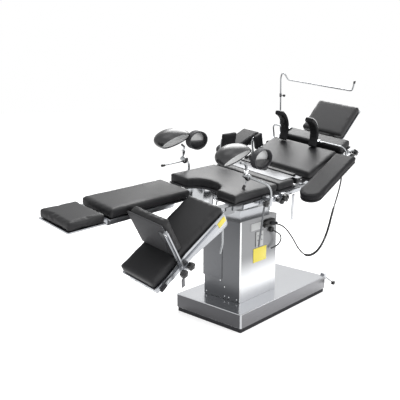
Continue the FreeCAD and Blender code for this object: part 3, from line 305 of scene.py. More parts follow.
def surface_group(name: str, detail: float, roughness: float) -> bpy.types.NodeTree:
    """Build a shared group: fine marks and broad cloudiness on given coordinates.

    Args:
        name: the group's name.
        detail: octaves of the fine noise.
        roughness: how rough the noise is.

    Returns:
        The group.
    """
    group, start, end = new_group(name, "Fine Scale", "Cloud Scale")
    for kind, octaves in (("Fine", detail), ("Cloud", 2.0)):
        noise = group.nodes.new("ShaderNodeTexNoise")
        set_inputs(noise, detail=octaves, roughness=roughness)
        group.links.new(start.outputs["Vector"], noise.inputs["Vector"])
        group.links.new(start.outputs[kind + " Scale"], noise.inputs["Scale"])
        group.links.new(noise.outputs["Fac"], end.inputs[kind])
    return group


def pebble_group() -> bpy.types.NodeTree:
    """Build the shared group of leather pebbles and creases.

    Returns:
        The group.
    """
    group, start, end = new_group("upholstery_pebble", "Fine Scale")
    cells = group.nodes.new("ShaderNodeTexVoronoi")
    cloud = set_inputs(group.nodes.new("ShaderNodeTexNoise"), scale=7.0, detail=3.0)
    for node in (cells, cloud):
        group.links.new(start.outputs["Vector"], node.inputs["Vector"])
    group.links.new(start.outputs["Fine Scale"], cells.inputs["Scale"])
    group.links.new(cells.outputs["Distance"], end.inputs["Fine"])
    group.links.new(cloud.outputs["Fac"], end.inputs["Cloud"])
    return group


class Finish:
    """Base of every finish: a name, a slot and one material made on first use."""

    name: str
    slot: Slot

    def material(self) -> bpy.types.Material:
        """Return the finish's material, building it on first use."""
        found = bpy.data.materials.get(self.name)
        return found if found else self.build()

    def build(self) -> bpy.types.Material:
        """Build the material."""
        raise NotImplementedError


@dataclass(frozen=True)
class Steel(Finish):
    """Stainless steel, brushed along one axis or polished."""

    name: str
    slot: Slot
    colour: Spot = (0.62, 0.63, 0.65)
    roughness: float = 0.3
    grain: Grain = Grain.Z
    marks: float = 0.12
    # Heights and share of a painted shade that darkens the colour towards the top.
    shade_heights: tuple[float, float] | None = None
    shade_share: float = 0.5

    def build(self) -> bpy.types.Material:
        """Build the metal with drawn streaks and faint handling marks."""
        graph = Graph(self.name)
        scales = {"fine_scale": 9.0, "cloud_scale": 0.08}
        streaks = graph.surface("steel_streaks", self.grain.value, **scales)
        set_inputs(graph.shader, metallic=1.0)
        colour = graph.tint(streaks.outputs["Cloud"], self.colour, contrast=0.06)
        # Painted shade: where heights are given, the colour darkens towards the top.
        if self.shade_heights:
            colour = graph.painted_height_shade(colour, self.shade_heights, self.shade_share)
        low = self.roughness * (1 - self.marks)
        high = self.roughness * (1 + self.marks)
        graph.paint(colour, graph.spread(streaks.outputs["Fine"], low, high))
        graph.bump(streaks.outputs["Fine"], strength=0.06, distance=0.0004)
        return graph.material


@dataclass(frozen=True)
class Leather(Finish):
    """Smooth black upholstery with a fine pebble and faint creases."""

    name: str = "black_upholstery"
    slot: Slot = Slot.LEATHER
    colour: Spot = (0.013, 0.013, 0.0145)
    roughness: float = 0.5
    index: float = 1.36
    gloss: float = 0.1
    gloss_roughness: float = 0.4

    def build(self) -> bpy.types.Material:
        """Build the upholstery."""
        graph = Graph(self.name)
        pebble = graph.surface("upholstery_pebble", fine_scale=620.0)
        gloss = {"coat_weight": self.gloss, "coat_roughness": self.gloss_roughness}
        set_inputs(graph.shader, ior=self.index, **gloss)
        cloud = pebble.outputs["Cloud"]
        rough = graph.spread(cloud, self.roughness - 0.06, self.roughness + 0.1)
        graph.paint(graph.tint(cloud, self.colour, contrast=0.3), rough)
        graph.bump(pebble.outputs["Fine"], strength=0.18, distance=0.0006)
        return graph.material


@dataclass(frozen=True)
class Moulded(Finish):
    """Moulded plastic, rubber or laminate with a fine texture."""

    name: str
    slot: Slot
    colour: Spot = (0.018, 0.018, 0.019)
    roughness: float = 0.42
    texture: float = 900.0
    depth: float = 0.0002

    def build(self) -> bpy.types.Material:
        """Build the moulded surface."""
        graph = Graph(self.name)
        skin = graph.surface("moulded_skin", fine_scale=self.texture, cloud_scale=14.0)
        cloud = skin.outputs["Cloud"]
        rough = graph.spread(cloud, self.roughness - 0.07, self.roughness + 0.07)
        graph.paint(graph.tint(cloud, self.colour, contrast=0.18), rough)
        graph.bump(skin.outputs["Fine"], strength=0.2, distance=self.depth)
        return graph.material


@dataclass(frozen=True)
class Webbing(Finish):
    """Woven strap, ribbed across its length."""

    name: str = "woven_strap"
    slot: Slot = Slot.STRAP
    colour: Spot = (0.05, 0.05, 0.055)

    def build(self) -> bpy.types.Material:
        """Build the weave."""
        graph = Graph(self.name)
        wave = graph.add("ShaderNodeTexWave", wave_type="BANDS", bands_direction="DIAGONAL")
        graph.join(graph.coordinates(), wave.inputs["Vector"])
        set_inputs(wave, scale=260.0, distortion=1.5)
        graph.paint(graph.tint(wave.outputs["Fac"], self.colour, contrast=0.35))
        set_inputs(graph.shader, roughness=0.75)
        graph.bump(wave.outputs["Fac"], strength=0.5, distance=0.0006)
        return graph.material


GROUPS: dict[str, Callable[[], bpy.types.NodeTree]] = {
    "steel_streaks": lambda: surface_group("steel_streaks", 6.0, 0.6),
    "moulded_skin": lambda: surface_group("moulded_skin", 3.0, 0.5),
    "upholstery_pebble": pebble_group,
}


def shared(name: str) -> bpy.types.NodeTree:
    """Return a shared node group, building it on first use."""
    found = bpy.data.node_groups.get(name)
    return found if found else GROUPS[name]()


POLISHED = Steel("polished_steel", Slot.POLISHED, (0.5, 0.51, 0.53), 0.16, Grain.X, 0.3)
RAIL_STEEL = Steel("steel_rail", Slot.POLISHED, (0.42, 0.43, 0.45), 0.24, Grain.X, 0.3)
ROD_STEEL = Steel("steel_rod", Slot.POLISHED, (0.34, 0.35, 0.36), 0.2, Grain.Z, 0.3)
BRUSHED_UP = Steel("steel_brushed_up", Slot.BRUSHED, (0.44, 0.45, 0.47), 0.32, Grain.Z)
BRUSHED_ALONG = Steel("steel_brushed_along", Slot.BRUSHED, (0.4, 0.41, 0.43), 0.3, Grain.X)
# Dark steel for the kidney bridge, hanging rod and screen sleeves; on the column's end face and
# panel it is painted shade.
BRUSHED_DARK = Steel("steel_brushed_dark", Slot.BRUSHED, (0.13, 0.133, 0.14), 0.36, Grain.Z)
# Column cover steel, painted darker towards its top as the shade under the table top.
COLUMN_STEEL = Steel(
    "steel_column_shaded_top", Slot.BRUSHED, (0.8, 0.81, 0.83), 0.34, shade_heights=(0.21, 0.4), shade_share=0.28,
)
FRAME_STEEL = Steel("steel_frame", Slot.BRUSHED, (0.22, 0.225, 0.235), 0.34, Grain.X)
# Steel for the plate laid on the seat cushion where its highlight falls: painted highlight.
SEAT_HIGHLIGHT_STEEL = Steel("steel_seat_highlight", Slot.POLISHED, (0.11, 0.112, 0.117), 0.4, Grain.Y, 0.3)
# Near-white steel for a painted highlight along the column's end corner.
HIGHLIGHT_STEEL = Steel("steel_painted_highlight", Slot.POLISHED, (0.95, 0.95, 0.96), 0.3, Grain.Z)
BASE_STEEL = Steel("steel_base", Slot.POLISHED, (0.53, 0.54, 0.56), 0.2, Grain.X, 0.25)
# Darker copies of the base steel for its side and end plates: painted shade.
BASE_SIDE_SHADE = Steel("steel_base_side_shade", Slot.POLISHED, (0.2, 0.2, 0.21), 0.28, Grain.X)
BASE_END_SHADE = Steel("steel_base_end_shade", Slot.POLISHED, (0.085, 0.085, 0.09), 0.3, Grain.Y)
LEATHER = Leather()
LEATHER_DULL = Leather("black_upholstery_small", roughness=0.55, index=1.24, gloss=0.02)
PLASTIC = Moulded("black_plastic", Slot.PLASTIC)
GLOSS_PLASTIC = Moulded(
    "black_plastic_gloss", Slot.PLASTIC, (0.012, 0.012, 0.013), 0.16, 500.0, 0.0001,
)
SHELL = Moulded("holder_shell", Slot.PLASTIC, (0.03, 0.03, 0.032), 0.34, 700.0, 0.0003)
RUBBER = Moulded("black_rubber", Slot.RUBBER, (0.016, 0.016, 0.017), 0.6, 500.0, 0.0004)
BOARD = Moulded("black_board", Slot.BOARD, (0.014, 0.014, 0.015), 0.42, 300.0, 0.0002)
YELLOW = Moulded("yellow_plate", Slot.PLATE, (0.78, 0.66, 0.012), 0.34, 200.0, 0.0001)
PALE = Moulded("pale_plate", Slot.PLATE, (0.56, 0.57, 0.57), 0.4, 200.0, 0.0001)
# Pale finish of the holder's lining, and of the disc in the strap loop, where it is a painted
# highlight.
PALE_LINER_AND_HIGHLIGHT = Moulded("pale_liner_and_highlight", Slot.PLASTIC, (0.86, 0.87, 0.87), 0.32, 300.0, 0.0002)
GREY_GRIP = Moulded("grey_grip", Slot.PLASTIC, (0.2, 0.2, 0.21), 0.5)
CABLE = Moulded("black_cable", Slot.CABLE, (0.014, 0.014, 0.015), 0.4, 300.0, 0.0002)
WEBBING = Webbing()


# Pieces

def linked(name: str, data: bpy.types.ID) -> bpy.types.Object:
    """Make an object of some data and link it to the scene."""
    item = bpy.data.objects.new(name, data)
    bpy.context.scene.collection.objects.link(item)
    return item


def solid(name: str, mesh: bmesh.types.BMesh) -> bpy.types.Object:
    """Turn a finished mesh into an object of the scene."""
    data = bpy.data.meshes.new(name)
    mesh.to_mesh(data)
    mesh.free()
    return linked(name, data)


def evaluated(item: bpy.types.Object) -> bpy.types.Mesh:
    """Return a new mesh of an object as its modifiers or its curve show it."""
    graph = bpy.context.evaluated_depsgraph_get()
    return bpy.data.meshes.new_from_object(item.evaluated_get(graph))


def facing(spot: Point, way: Vector) -> Matrix:
    """Return a frame at a spot with its z axis along a direction."""
    return Matrix.Translation(Vector(spot)) @ way.to_track_quat("Z", "Y").to_matrix().to_4x4()


class Piece:
    """A mesh under construction, drawn in millimetres in one of the table's frames."""

    def __init__(self, name: str, place: Matrix) -> None:
        """Start an empty piece.

        Args:
            name: the finished object's name.
            place: the frame that its points are given in.
        """
        self.name = name
        self.place = place
        self.mesh = bmesh.new()

    def draw(self, shapes: Sequence[Shape]) -> "Piece":
        """Add shapes, each a method of this class and its values, and return the piece."""
        for shape, *values in shapes:
            shape(self, *values)
        return self

    def edge_bevel(self, edges: Sequence[bmesh.types.BMEdge], offset: float, segments: int) -> None:
        """Bevel the given edges."""
        bmesh.ops.bevel(
            self.mesh, geom=list(edges), offset=offset, offset_type="OFFSET", segments=segments,
            profile=0.5, affect="EDGES", clamp_overlap=True, material=-1,
        )

    def extrude(self, faces: Sequence[bmesh.types.BMFace]) -> list[bmesh.types.BMVert]:
        """Extrude faces in place and return the vertices of the new end."""
        made = bmesh.ops.extrude_face_region(self.mesh, geom=faces)
        return [v for v in made["geom"] if isinstance(v, bmesh.types.BMVert)]

    def block(self, low: Point, high: Point, bevel: float = 0.0) -> None:
        """Add a box with bevelled edges.

        Args:
            low: lowest corner.
            high: highest corner.
            bevel: size of the bevel, 0 for none.
        """
        first, last = Vector(low), Vector(high)
        size = Matrix.Diagonal((*(last - first), 1.0))
        place = Matrix.Translation((first + last) / 2) @ size
        made = bmesh.ops.create_cube(self.mesh, size=1.0, matrix=place)
        if bevel:
            edges = {e for v in made["verts"] for e in v.link_edges}
            self.edge_bevel(edges, bevel, segments=3)

    def rod(
        self, start: Point, end: Point, radius: float, bevel: float = 0.0, sides: int = 28,
    ) -> None:
        """Add a round bar between two points.

        Args:
            start: centre of the first end.
            end: centre of the second end.
            radius: radius of the bar.
            bevel: rounding of the two end edges.
            sides: number of flat sides.
        """
        first, last = Vector(start), Vector(end)
        way = last - first
        made = bmesh.ops.create_cone(
            self.mesh, cap_ends=True, cap_tris=False, segments=sides, radius1=radius,
            radius2=radius, depth=way.length, matrix=facing((first + last) / 2, way),
        )
        if bevel:
            edges = {e for v in made["verts"] for e in v.link_edges}
            rims = {e for e in edges if any(len(f.verts) > 4 for f in e.link_faces)}
            self.edge_bevel(rims, bevel, segments=2)

    def ball(self, centre: Point, radius: float) -> None:
        """Add a ball."""
        place = Matrix.Translation(Vector(centre))
        bmesh.ops.create_uvsphere(
            self.mesh, u_segments=24, v_segments=14, radius=radius, matrix=place,
        )

    def knob(
        self, centre: Point, axis: Point, radius: float = 20.0, thickness: float = 20.0,
    ) -> None:
        """Add a hand knob with rounded lobes and a raised middle.

        Args:
            centre: centre of the face nearer the screw.
            axis: direction from the screw outwards.
            radius: outer radius.
            thickness: length along the axis.
        """
        lobes, hollow, steps = 5, 0.16, 40
        rounding, cap_share, cap_height = 0.22, 0.42, 2.5
        way = Vector(axis).normalized()
        place = facing(centre, way)
        ring = []
        for step in range(steps):
            angle = 2 * math.pi * step / steps
            reach = radius * (1 - hollow / 2 + hollow / 2 * math.cos(lobes * angle))
            corner = Vector((reach * math.cos(angle), reach * math.sin(angle), 0))
            ring.append(self.mesh.verts.new(place @ corner))
        moved = self.extrude([self.mesh.faces.new(ring)])
        bmesh.ops.translate(self.mesh, vec=way * thickness, verts=moved)
        top = {e for v in moved for e in v.link_edges if all(w in moved for w in e.verts)}
        self.edge_bevel(top, min(thickness, radius) * rounding, segments=3)
        cap = Vector(centre) + Vector(axis) * thickness
        self.rod(cap - Vector(axis), cap + Vector(axis) * cap_height, radius * cap_share, 1.0)

    def pipe(self, points: Sequence[Point], radius: float, sides: int, bend: float) -> None:
        """Add a bent round bar along straight runs with rounded turns.

        Args:
            points: the route.
            radius: radius of the bar.
            sides: number of flat sides.
            bend: distance from each corner at which its turn starts.
        """
        route = rounded_route([Vector(p) for p in points], bend)
        rings = []
        up = (route[1] - route[0]).normalized().orthogonal().normalized()
        for index, spot in enumerate(route):
            before = route[max(index - 1, 0)]
            after = route[min(index + 1, len(route) - 1)]
            way = (after - before).normalized()
            up = (up - way * up.dot(way)).normalized()
            spin = Matrix((up, way.cross(up), way)).transposed().to_4x4()
            made = bmesh.ops.create_circle(
                self.mesh, cap_ends=index in (0, len(route) - 1), segments=sides, radius=radius,
                matrix=Matrix.Translation(spot) @ spin,
            )
            edges = {e for v in made["verts"] for e in v.link_edges
                     if len(e.verts[0].link_edges) <= sides}
            rings.append([e for e in edges if all(v in made["verts"] for v in e.verts)])
        for one, other in zip(rings, rings[1:]):
            bmesh.ops.bridge_loops(self.mesh, edges=one + other)

    def dome(
        self, centre: Point, radii: Point, opening: Point, lip: float, wall: float,
    ) -> None:
        """Add an open shell: a hollow ellipsoid cut off by a plane.

        Args:
            centre: centre of the ellipsoid.
            radii: its half lengths along x, y and z.
            opening: direction in which the shell is open.
            lip: distance from the centre to the cut.
            wall: thickness of the shell.
        """
        middle, half, way = Vector(centre), Vector(radii), Vector(opening).normalized()
        place = Matrix.Translation(middle) @ Matrix.Diagonal((*half, 1.0))
        bmesh.ops.create_uvsphere(
            self.mesh, u_segments=44, v_segments=26, radius=1.0, matrix=place,
        )
        everything = self.mesh.verts[:] + self.mesh.edges[:] + self.mesh.faces[:]
        bmesh.ops.bisect_plane(
            self.mesh, geom=everything, plane_co=middle + way * lip, plane_no=way,
            clear_outer=True,
        )
        shrink = Matrix.Diagonal((*[(size - wall) / size for size in half], 1.0))
        inward = Matrix.Translation(middle) @ shrink @ Matrix.Translation(-middle)
        for vertex in self.extrude(self.mesh.faces[:]):
            vertex.co = inward @ vertex.co

    def band(
        self, centre: Point, across: float, high: float, wall: float, width: float, tilt: float,
    ) -> None:
        """Add a flat strap bent into an oval loop around an axis along y.

        Args:
            centre: centre of the loop.
            across: half length of the loop along x.
            high: half height of the loop.
            wall: thickness of the strap.
            width: width of the strap.
            tilt: turn of the loop about y, in degrees.
        """
        place = Matrix.Translation(Vector(centre)) @ turn("Y", tilt)
        place = place @ Matrix.Translation((0, -width / 2, 0)) @ turn("X", 90)
        rings = []
        for shrink in (0.0, wall):
            size = Matrix.Diagonal((across - shrink, high - shrink, 1.0, 1.0))
            made = bmesh.ops.create_circle(
                self.mesh, segments=48, radius=1.0, matrix=place @ size,
            )
            rings += list({e for v in made["verts"] for e in v.link_edges})
        flat = bmesh.ops.bridge_loops(self.mesh, edges=rings)
        moved = self.extrude(flat["faces"])
        bmesh.ops.translate(self.mesh, vec=(0, width, 0), verts=moved)

    def arc(
        self, centre: Point, radius: float, thickness: float, width: float, start: float,
        end: float, corner: float = 0.0,
    ) -> None:
        """Add a bar bent around an axis along y.

        Args:
            centre: a point on the axis, in the middle of the bar's width.
            radius: outer radius.
            thickness: thickness along the radius.
            width: width along y.
            start: angle of the first end above x, in degrees.
            end: angle of the last end above x, in degrees.
            corner: size of the chamfered corners of the cross-section.
        """
        middle = Vector(centre)
        first = turn("Y", -start)
        half, deep = width / 2, thickness
        profile = [
            (0, half - corner), (-corner, half), (corner - deep, half), (-deep, half - corner),
            (-deep, corner - half), (corner - deep, -half), (-corner, -half), (0, corner - half),
        ] if corner else [(0, half), (-deep, half), (-deep, -half), (0, -half)]
        spots = [middle + first @ Vector((radius + r, y, 0)) for r, y in profile]
        ring = [self.mesh.verts.new(spot) for spot in spots]
        face = self.mesh.faces.new(ring)
        made = bmesh.ops.spin(
            self.mesh, geom=[face], cent=middle, axis=(0, -1, 0), dvec=(0, 0, 0),
            angle=math.radians(end - start), steps=18, use_duplicate=False,
        )
        last = [item for item in made["geom_last"] if isinstance(item, bmesh.types.BMFace)]
        if not last:
            edges = [item for item in made["geom_last"] if isinstance(item, bmesh.types.BMEdge)]
            bmesh.ops.contextual_create(self.mesh, geom=edges)

    def slab(self, outline: Sequence[Point], rise: Point, bevel: float) -> None:
        """Add a flat plate by drawing its outline and extruding it.

        Args:
            outline: corners in order around the plate.
            rise: the extrusion.
            bevel: rounding of every edge.
        """
        corners = [self.mesh.verts.new(Vector(p)) for p in outline]
        moved = self.extrude([self.mesh.faces.new(corners)])
        bmesh.ops.translate(self.mesh, vec=Vector(rise), verts=moved)
        edges = {e for v in corners + moved for e in v.link_edges}
        self.edge_bevel(edges, bevel, segments=2)

    def tongue(self, low: Point, high: Point) -> None:
        """Add a flat plate, even about y, with a round end at its lowest x."""
        self.block(low, high)
        corners = [e for e in self.mesh.edges if all(v.co.x < low[0] + 1 for v in e.verts)
                   and abs(e.verts[0].co.y - e.verts[1].co.y) < 1]
        self.edge_bevel(corners, high[1] - 1, segments=14)

    def bush(self, inner: float, outer: float, low: float, high: float) -> None:
        """Add a ring round the z axis between two radii and two heights."""
        section = [(inner, low), (outer, low), (outer, high), (inner, high)]
        ring = [self.mesh.verts.new((radius, 0, z)) for radius, z in section]
        edges = [self.mesh.edges.new((ring[i], ring[i - 1])) for i in range(len(ring))]
        bmesh.ops.spin(
            self.mesh, geom=ring + edges, cent=(0, 0, 0), axis=(0, 0, 1), dvec=(0, 0, 0),
            angle=2 * math.pi, steps=32, use_merge=True,
        )

    def oval(
        self, centre: Point, across: float, high: float, start: float, end: float,
    ) -> None:
        """Make the piece one oval disc that lies square to y.

        Args:
            centre: centre of the loop that it fills.
            across: half length along x.
            high: half height.
            start: where it starts along y, beyond the centre.
            end: where it ends.
        """
        x, y, z = centre
        self.rod((x, y + start, z), (x, y + end, z), 1.0, 0, 48)
        middle = Matrix.Translation(Vector(centre))
        self.mesh.transform(middle @ Matrix.Diagonal((across, 1, high, 1)) @ middle.inverted())

    def finish(
        self, body: str, finish: Finish, smooth: float = SMOOTH_ANGLE,
    ) -> bpy.types.Object:
        """Put the piece in its place and hang it on a body.

        Args:
            body: the CAD body that carries it.
            finish: its finish.
            smooth: largest angle, in degrees, that is shaded smooth.

        Returns:
            The finished object.
        """
        return dress(self.object(), body, finish, smooth)

    def object(self) -> bpy.types.Object:
        """Turn the piece into an object in its place, without a finish or a body."""
        bmesh.ops.recalc_face_normals(self.mesh, faces=self.mesh.faces[:])
        self.mesh.transform(self.place @ Matrix.Scale(MM, 4))
        return solid(self.name, self.mesh)


def rounded_route(points: list[Vector], bend: float) -> list[Vector]:
    """Round the corners of a route of straight runs.

    Args:
        points: corners of the route.
        bend: distance from a corner at which its turn starts.

    Returns:
        Points along the rounded route.
    """
    steps, most = 6, 0.48
    route = [points[0]]
    for before, corner, after in zip(points, points[1:], points[2:]):
        ends = []
        for other in (before, after):
            way = other - corner
            ends.append(corner + way.normalized() * min(bend, way.length * most))
        start, end = ends
        for step in range(steps + 1):
            share = step / steps
            rest = 1 - share
            route.append(start * rest ** 2 + corner * 2 * share * rest + end * share ** 2)
    route.append(points[-1])
    return route


def dress(piece: bpy.types.Object, body: str, finish: Finish, smooth: float) -> bpy.types.Object:
    """Give a mesh piece its finish and shading and hang it on a body."""
    piece.data.materials.clear()
    piece.data.materials.append(finish.material())
    piece.data.shade_smooth()
    piece.data.set_sharp_from_angle(angle=math.radians(smooth))
    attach(piece, body)
    LOG.info("%s on %s in %s", piece.name, body, finish.name)
    return piece


def node_copy(node: str, name: str) -> bpy.types.Object:
    """Copy a CAD node's mesh into a new object, its doubles merged.

    Args:
        node: the CAD node.
        name: the copy's name.

    Returns:
        The new object, not yet on a body.
    """
    mesh = bmesh.new()
    mesh.from_mesh(bpy.data.objects[node].data)
    bmesh.ops.remove_doubles(mesh, verts=mesh.verts[:], dist=1e-5)
    return solid(name, mesh)


def baked(piece: bpy.types.Object) -> None:
    """Apply a piece's modifiers to its mesh."""
    bpy.context.view_layer.update()
    data = evaluated(piece)
    piece.modifiers.clear()
    old = piece.data
    piece.data = data
    bpy.data.meshes.remove(old)


# Cushions

@dataclass
class Cushion:
    """One padded cushion, swollen by its own pressure from the solid that stands for it."""

    node: str
    body: str
    place: Matrix
    voxel: float = 8.0
    crown: float = 3.0
    finish: Leather = LEATHER
    shape: Shape | None = None
    inset: float = 2.0
    pressure: float = 4.0
    fill: float = 0.7
    frames: int = 14

    def build(self) -> None:
        """Remesh, swell, cap and smooth the cushion."""
        name = self.node.replace("pad", "cushion")
        if self.shape:
            piece = Piece(name, self.place).draw([self.shape]).object()
        else:
            piece = node_copy(self.node, name)
        self.shrink(piece)
        remesh = piece.modifiers.new("even faces", "REMESH")
        remesh.mode = "VOXEL"
        remesh.voxel_size = self.voxel * MM
        baked(piece)
        self.swell(piece)
        smooth = piece.modifiers.new("even skin", "SMOOTH")
        smooth.factor = 0.5
        smooth.iterations = 2
        detail = piece.modifiers.new("detail", "SUBSURF")
        detail.levels = detail.render_levels = 1
        baked(piece)
        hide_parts(self.node)
        dress(piece, self.body, self.finish, smooth=180.0)

    def shrink(self, piece: bpy.types.Object) -> None:
        """Pull the solid in so that the swollen cushion fits its space."""
        piece.data.transform(self.place.inverted())
        corners = [v.co for v in piece.data.vertices]
        low = Vector([min(c[i] for c in corners) for i in range(3)])
        high = Vector([max(c[i] for c in corners) for i in range(3)])
        middle = (low + high) / 2
        scale = [(size - 2 * self.inset * MM) / size for size in high - low]
        squeeze = Matrix.Diagonal((*scale, 1.0)) @ Matrix.Translation(-middle)
        piece.data.transform(self.place @ Matrix.Translation(middle) @ squeeze)

    def swell(self, piece: bpy.types.Object) -> None:
        """Run the cloth under pressure and cap how far each point may move."""
        before = [v.co.copy() for v in piece.data.vertices]
        cloth = piece.modifiers.new("cover", "CLOTH")
        settings = cloth.settings
        settings.quality = 4
        settings.mass = 0.3
        settings.tension_stiffness = 40.0
        settings.compression_stiffness = 40.0
        settings.bending_stiffness = 2.0
        settings.use_pressure = True
        settings.uniform_pressure_force = self.pressure
        settings.effector_weights.gravity = 0.0
        cloth.collision_settings.use_collision = False
        cloth.point_cache.frame_start = 1
        cloth.point_cache.frame_end = self.frames
        scene = bpy.context.scene
        for frame in range(1, self.frames + 1):
            scene.frame_set(frame)
        moved = evaluated(piece)
        piece.modifiers.clear()
        cap = self.crown * MM
        for vertex, start, swollen in zip(piece.data.vertices, before, moved.vertices):
            step = swollen.co - start
            if step.length > cap:
                step *= cap / step.length
            vertex.co = start + step
        bpy.data.meshes.remove(moved)
        scene.frame_set(1)


@dataclass
class CushionSet:
    """Every cushion of the table, its supports and its arm boards."""

    board_turn: float = 5.0

    def cushions(self) -> list[Cushion]:
        """List the cushions with the frame each lies in."""
        top, back, dull = FRAMES.top, FRAMES.back, LEATHER_DULL
        far, near = FRAMES.leg_far, FRAMES.leg_near
        far_arc = (Piece.arc, (182, 150, 108), 153, 30, 62, -44, 58, 6)
        near_arc = (Piece.arc, (192, -80, 103), 150, 30, 62, -44, 58, 6)
        return [
            Cushion("seat_pad_front", "seat", top, 6.0),
            Cushion("seat_pad_rear", "seat", top),
            Cushion("back_pad_lower", "back", back),
            Cushion("back_pad_upper", "back", back),
            Cushion("head_pad", "head", FRAMES.head),
            Cushion("leg_pad_far", "leg_far", far),
            Cushion("leg_pad_near", "leg_near", near),
            Cushion("foot_pad_far", "foot_far", far, 6.0, 5.0),
            Cushion("foot_pad_near", "foot_near", near, 6.0, 5.0),
            Cushion("arm_pad_near", "arm_near", back @ turn("Z", self.board_turn), 6.0, 4.0, dull),
            Cushion("arm_pad_far", "arm_far", back, 6.0, 4.0, dull),
            Cushion("support_pad_seat", "support_seat", top, 4.0, 4.0, dull),
            Cushion("support_pad_back", "support_back", back, 4.0, 4.0, dull),
            Cushion("shoulder_pad_far", "shoulder_far", back, 4.0, 3.0, dull, far_arc),
            Cushion("shoulder_pad_near", "shoulder_near", back, 4.0, 3.0, dull, near_arc),
        ]

    def build(self) -> None:
        """Build every cushion in turn."""
        for cushion in self.cushions():
            cushion.build()


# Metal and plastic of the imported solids

@dataclass
class Frame:
    """Finishes for the CAD nodes that stay in view."""

    finishes: tuple[tuple[Finish, str], ...] = (
        (BRUSHED_ALONG, "base_chassis back_frame head_frame leg_frame_far leg_frame_near"),
        (BRUSHED_ALONG, "foot_frame_far foot_frame_near"),
        (BRUSHED_UP, "brake_bracket column_inner_cover column_head"),
        (BRUSHED_UP, "seat_rail_clamps back_rail_clamps"),
        (BRUSHED_DARK, "kidney_bridge"),
        (BASE_STEEL, "base_cover"),
        (COLUMN_STEEL, "column_lower_cover"),
        (FRAME_STEEL, "tilt_yoke seat_frame leg_knuckle_far leg_knuckle_near"),
        (POLISHED, "drain_tray"),
        (RAIL_STEEL, "seat_rails back_rails"),
        (ROD_STEEL, "brake_lever holder_rod_near holder_rod_far arm_post_far"),
        (ROD_STEEL, "support_rod_seat support_rod_back shoulder_rod_far shoulder_rod_near"),
        (BOARD, "seat_plate back_plate"),
        (PLASTIC, "hand_control"),
        (RUBBER, "base_skirt"),
    )

    def build(self) -> None:
        """Give each CAD node its finish through its material slots."""
        for finish, nodes in self.finishes:
            for node in nodes.split():
                item = bpy.data.objects[node]
                if item.material_slots:
                    item.material_slots[0].material = finish.material()
                else:
                    item.data.materials.append(finish.material())
                LOG.info("%s in %s", node, finish.name)


# Fittings of the scene's own

@dataclass(frozen=True)
class Fitting:
    """One piece as a row: its frame, the body that carries it, its finish and its shapes."""

    name: str
    place: Matrix
    body: str
    finish: Finish
    shapes: Sequence[Shape]
    node: str = ""
    smooth: float = SMOOTH_ANGLE

    def build(self) -> None:
        """Draw the piece, finish it and let it take the place of its CAD node."""
        piece = Piece(self.name, self.place).draw(self.shapes)
        made = piece.finish(self.body, self.finish, self.smooth)
        if self.node:
            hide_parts(self.node)


class FittingSet:
    """The fittings of one part of the table."""

    def fittings(self) -> list[Fitting]:
        """List the fittings."""
        raise NotImplementedError

    def build(self) -> None:
        """Build every fitting in turn."""
        for fitting in self.fittings():
            fitting.build()


@dataclass
class Knobs(FittingSet):
    """Every hand knob on the rail clamps, the foot board, the arm post and the back."""

    seat_height: float = 82.5
    back_height: float = -70.0
    reach: float = 296.6

    def fittings(self) -> list[Fitting]:
        """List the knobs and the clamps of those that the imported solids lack."""
        top, back, near = FRAMES.top, FRAMES.back, FRAMES.leg_near
        seat, low, out = self.seat_height, self.back_height, self.reach
        rows = [
            ("knob_holder_near", top, "seat", (-176, -out, seat), (0, -1, 0)),
            ("knob_holder_far", top, "seat", (-233, out, seat), (0, 1, 0)),
            ("knob_support_seat", top, "seat", (59, out, seat), (0, 1, 0)),
            ("knob_arm_far", back, "back", (259, out, low), (0, 1, 0)),
            ("knob_support_back", back, "back", (68, out, low), (0, 1, 0)),
            ("knob_shoulder_far", back, "back", (318, out, low), (0, 1, 0)),
            ("knob_shoulder_near", back, "back", (420, -out, low), (0, -1, 0)),
            ("knob_screen", back, "back", (506, out, low), (0, 1, 0)),
            ("knob_arm_near", back, "back", (272, -295.6, low - 10), (0, -1, 0)),
            ("knob_board_upper", near, "foot_near", (-359, -out, 3.5), (0, -1, 0), 22, 22),
            ("knob_board_lower", near, "foot_near", (-413, -out, 3.5), (0, -1, 0), 22, 22),
            ("knob_arm_post", back, "arm_post", (205, 377, -19), (0, 0, -1), 20, 25),
            ("knob_rail_large", top, "seat", (24, -286, 77), (0, -1, 0), 25, 24),
            ("knob_rail_small", top, "seat", (-49, -286, 79), (0, -1, 0), 15, 18),
            ("knob_rail_low", top, "seat", (-6, -286, 56), (0, -1, 0), 14, 18),
            ("knob_back_end", back, "back", (500, -280, -84), (0.66, 0, -0.75), 22, 24),
            ("knob_brake", FRAMES.world, "brake", (527, -276, 54), (0, -1, 0), 16, 18),
        ]
        knobs = [Fitting(name, place, body, GLOSS_PLASTIC, [(Piece.knob, *values)])
                 for name, place, body, *values in rows]
        return knobs + [
            Fitting("rail_clamp_small", top, "seat", BRUSHED_UP, [
                (Piece.block, (2, -287, 62), (46, -256, 102), 2.5),
                (Piece.block, (-62, -287, 60), (-26, -256, 98), 2.5),
                (Piece.block, (-20, -287, 48), (4, -268, 66), 2.0),
            ]),
            Fitting("back_end_rod", back, "back", ROD_STEEL, [(Piece.pipe, [
                (440, -262, -62), (462, -280, -52), (480, -280, -62), (503, -280, -88),
            ], 6, 12, 8)]),
        ]


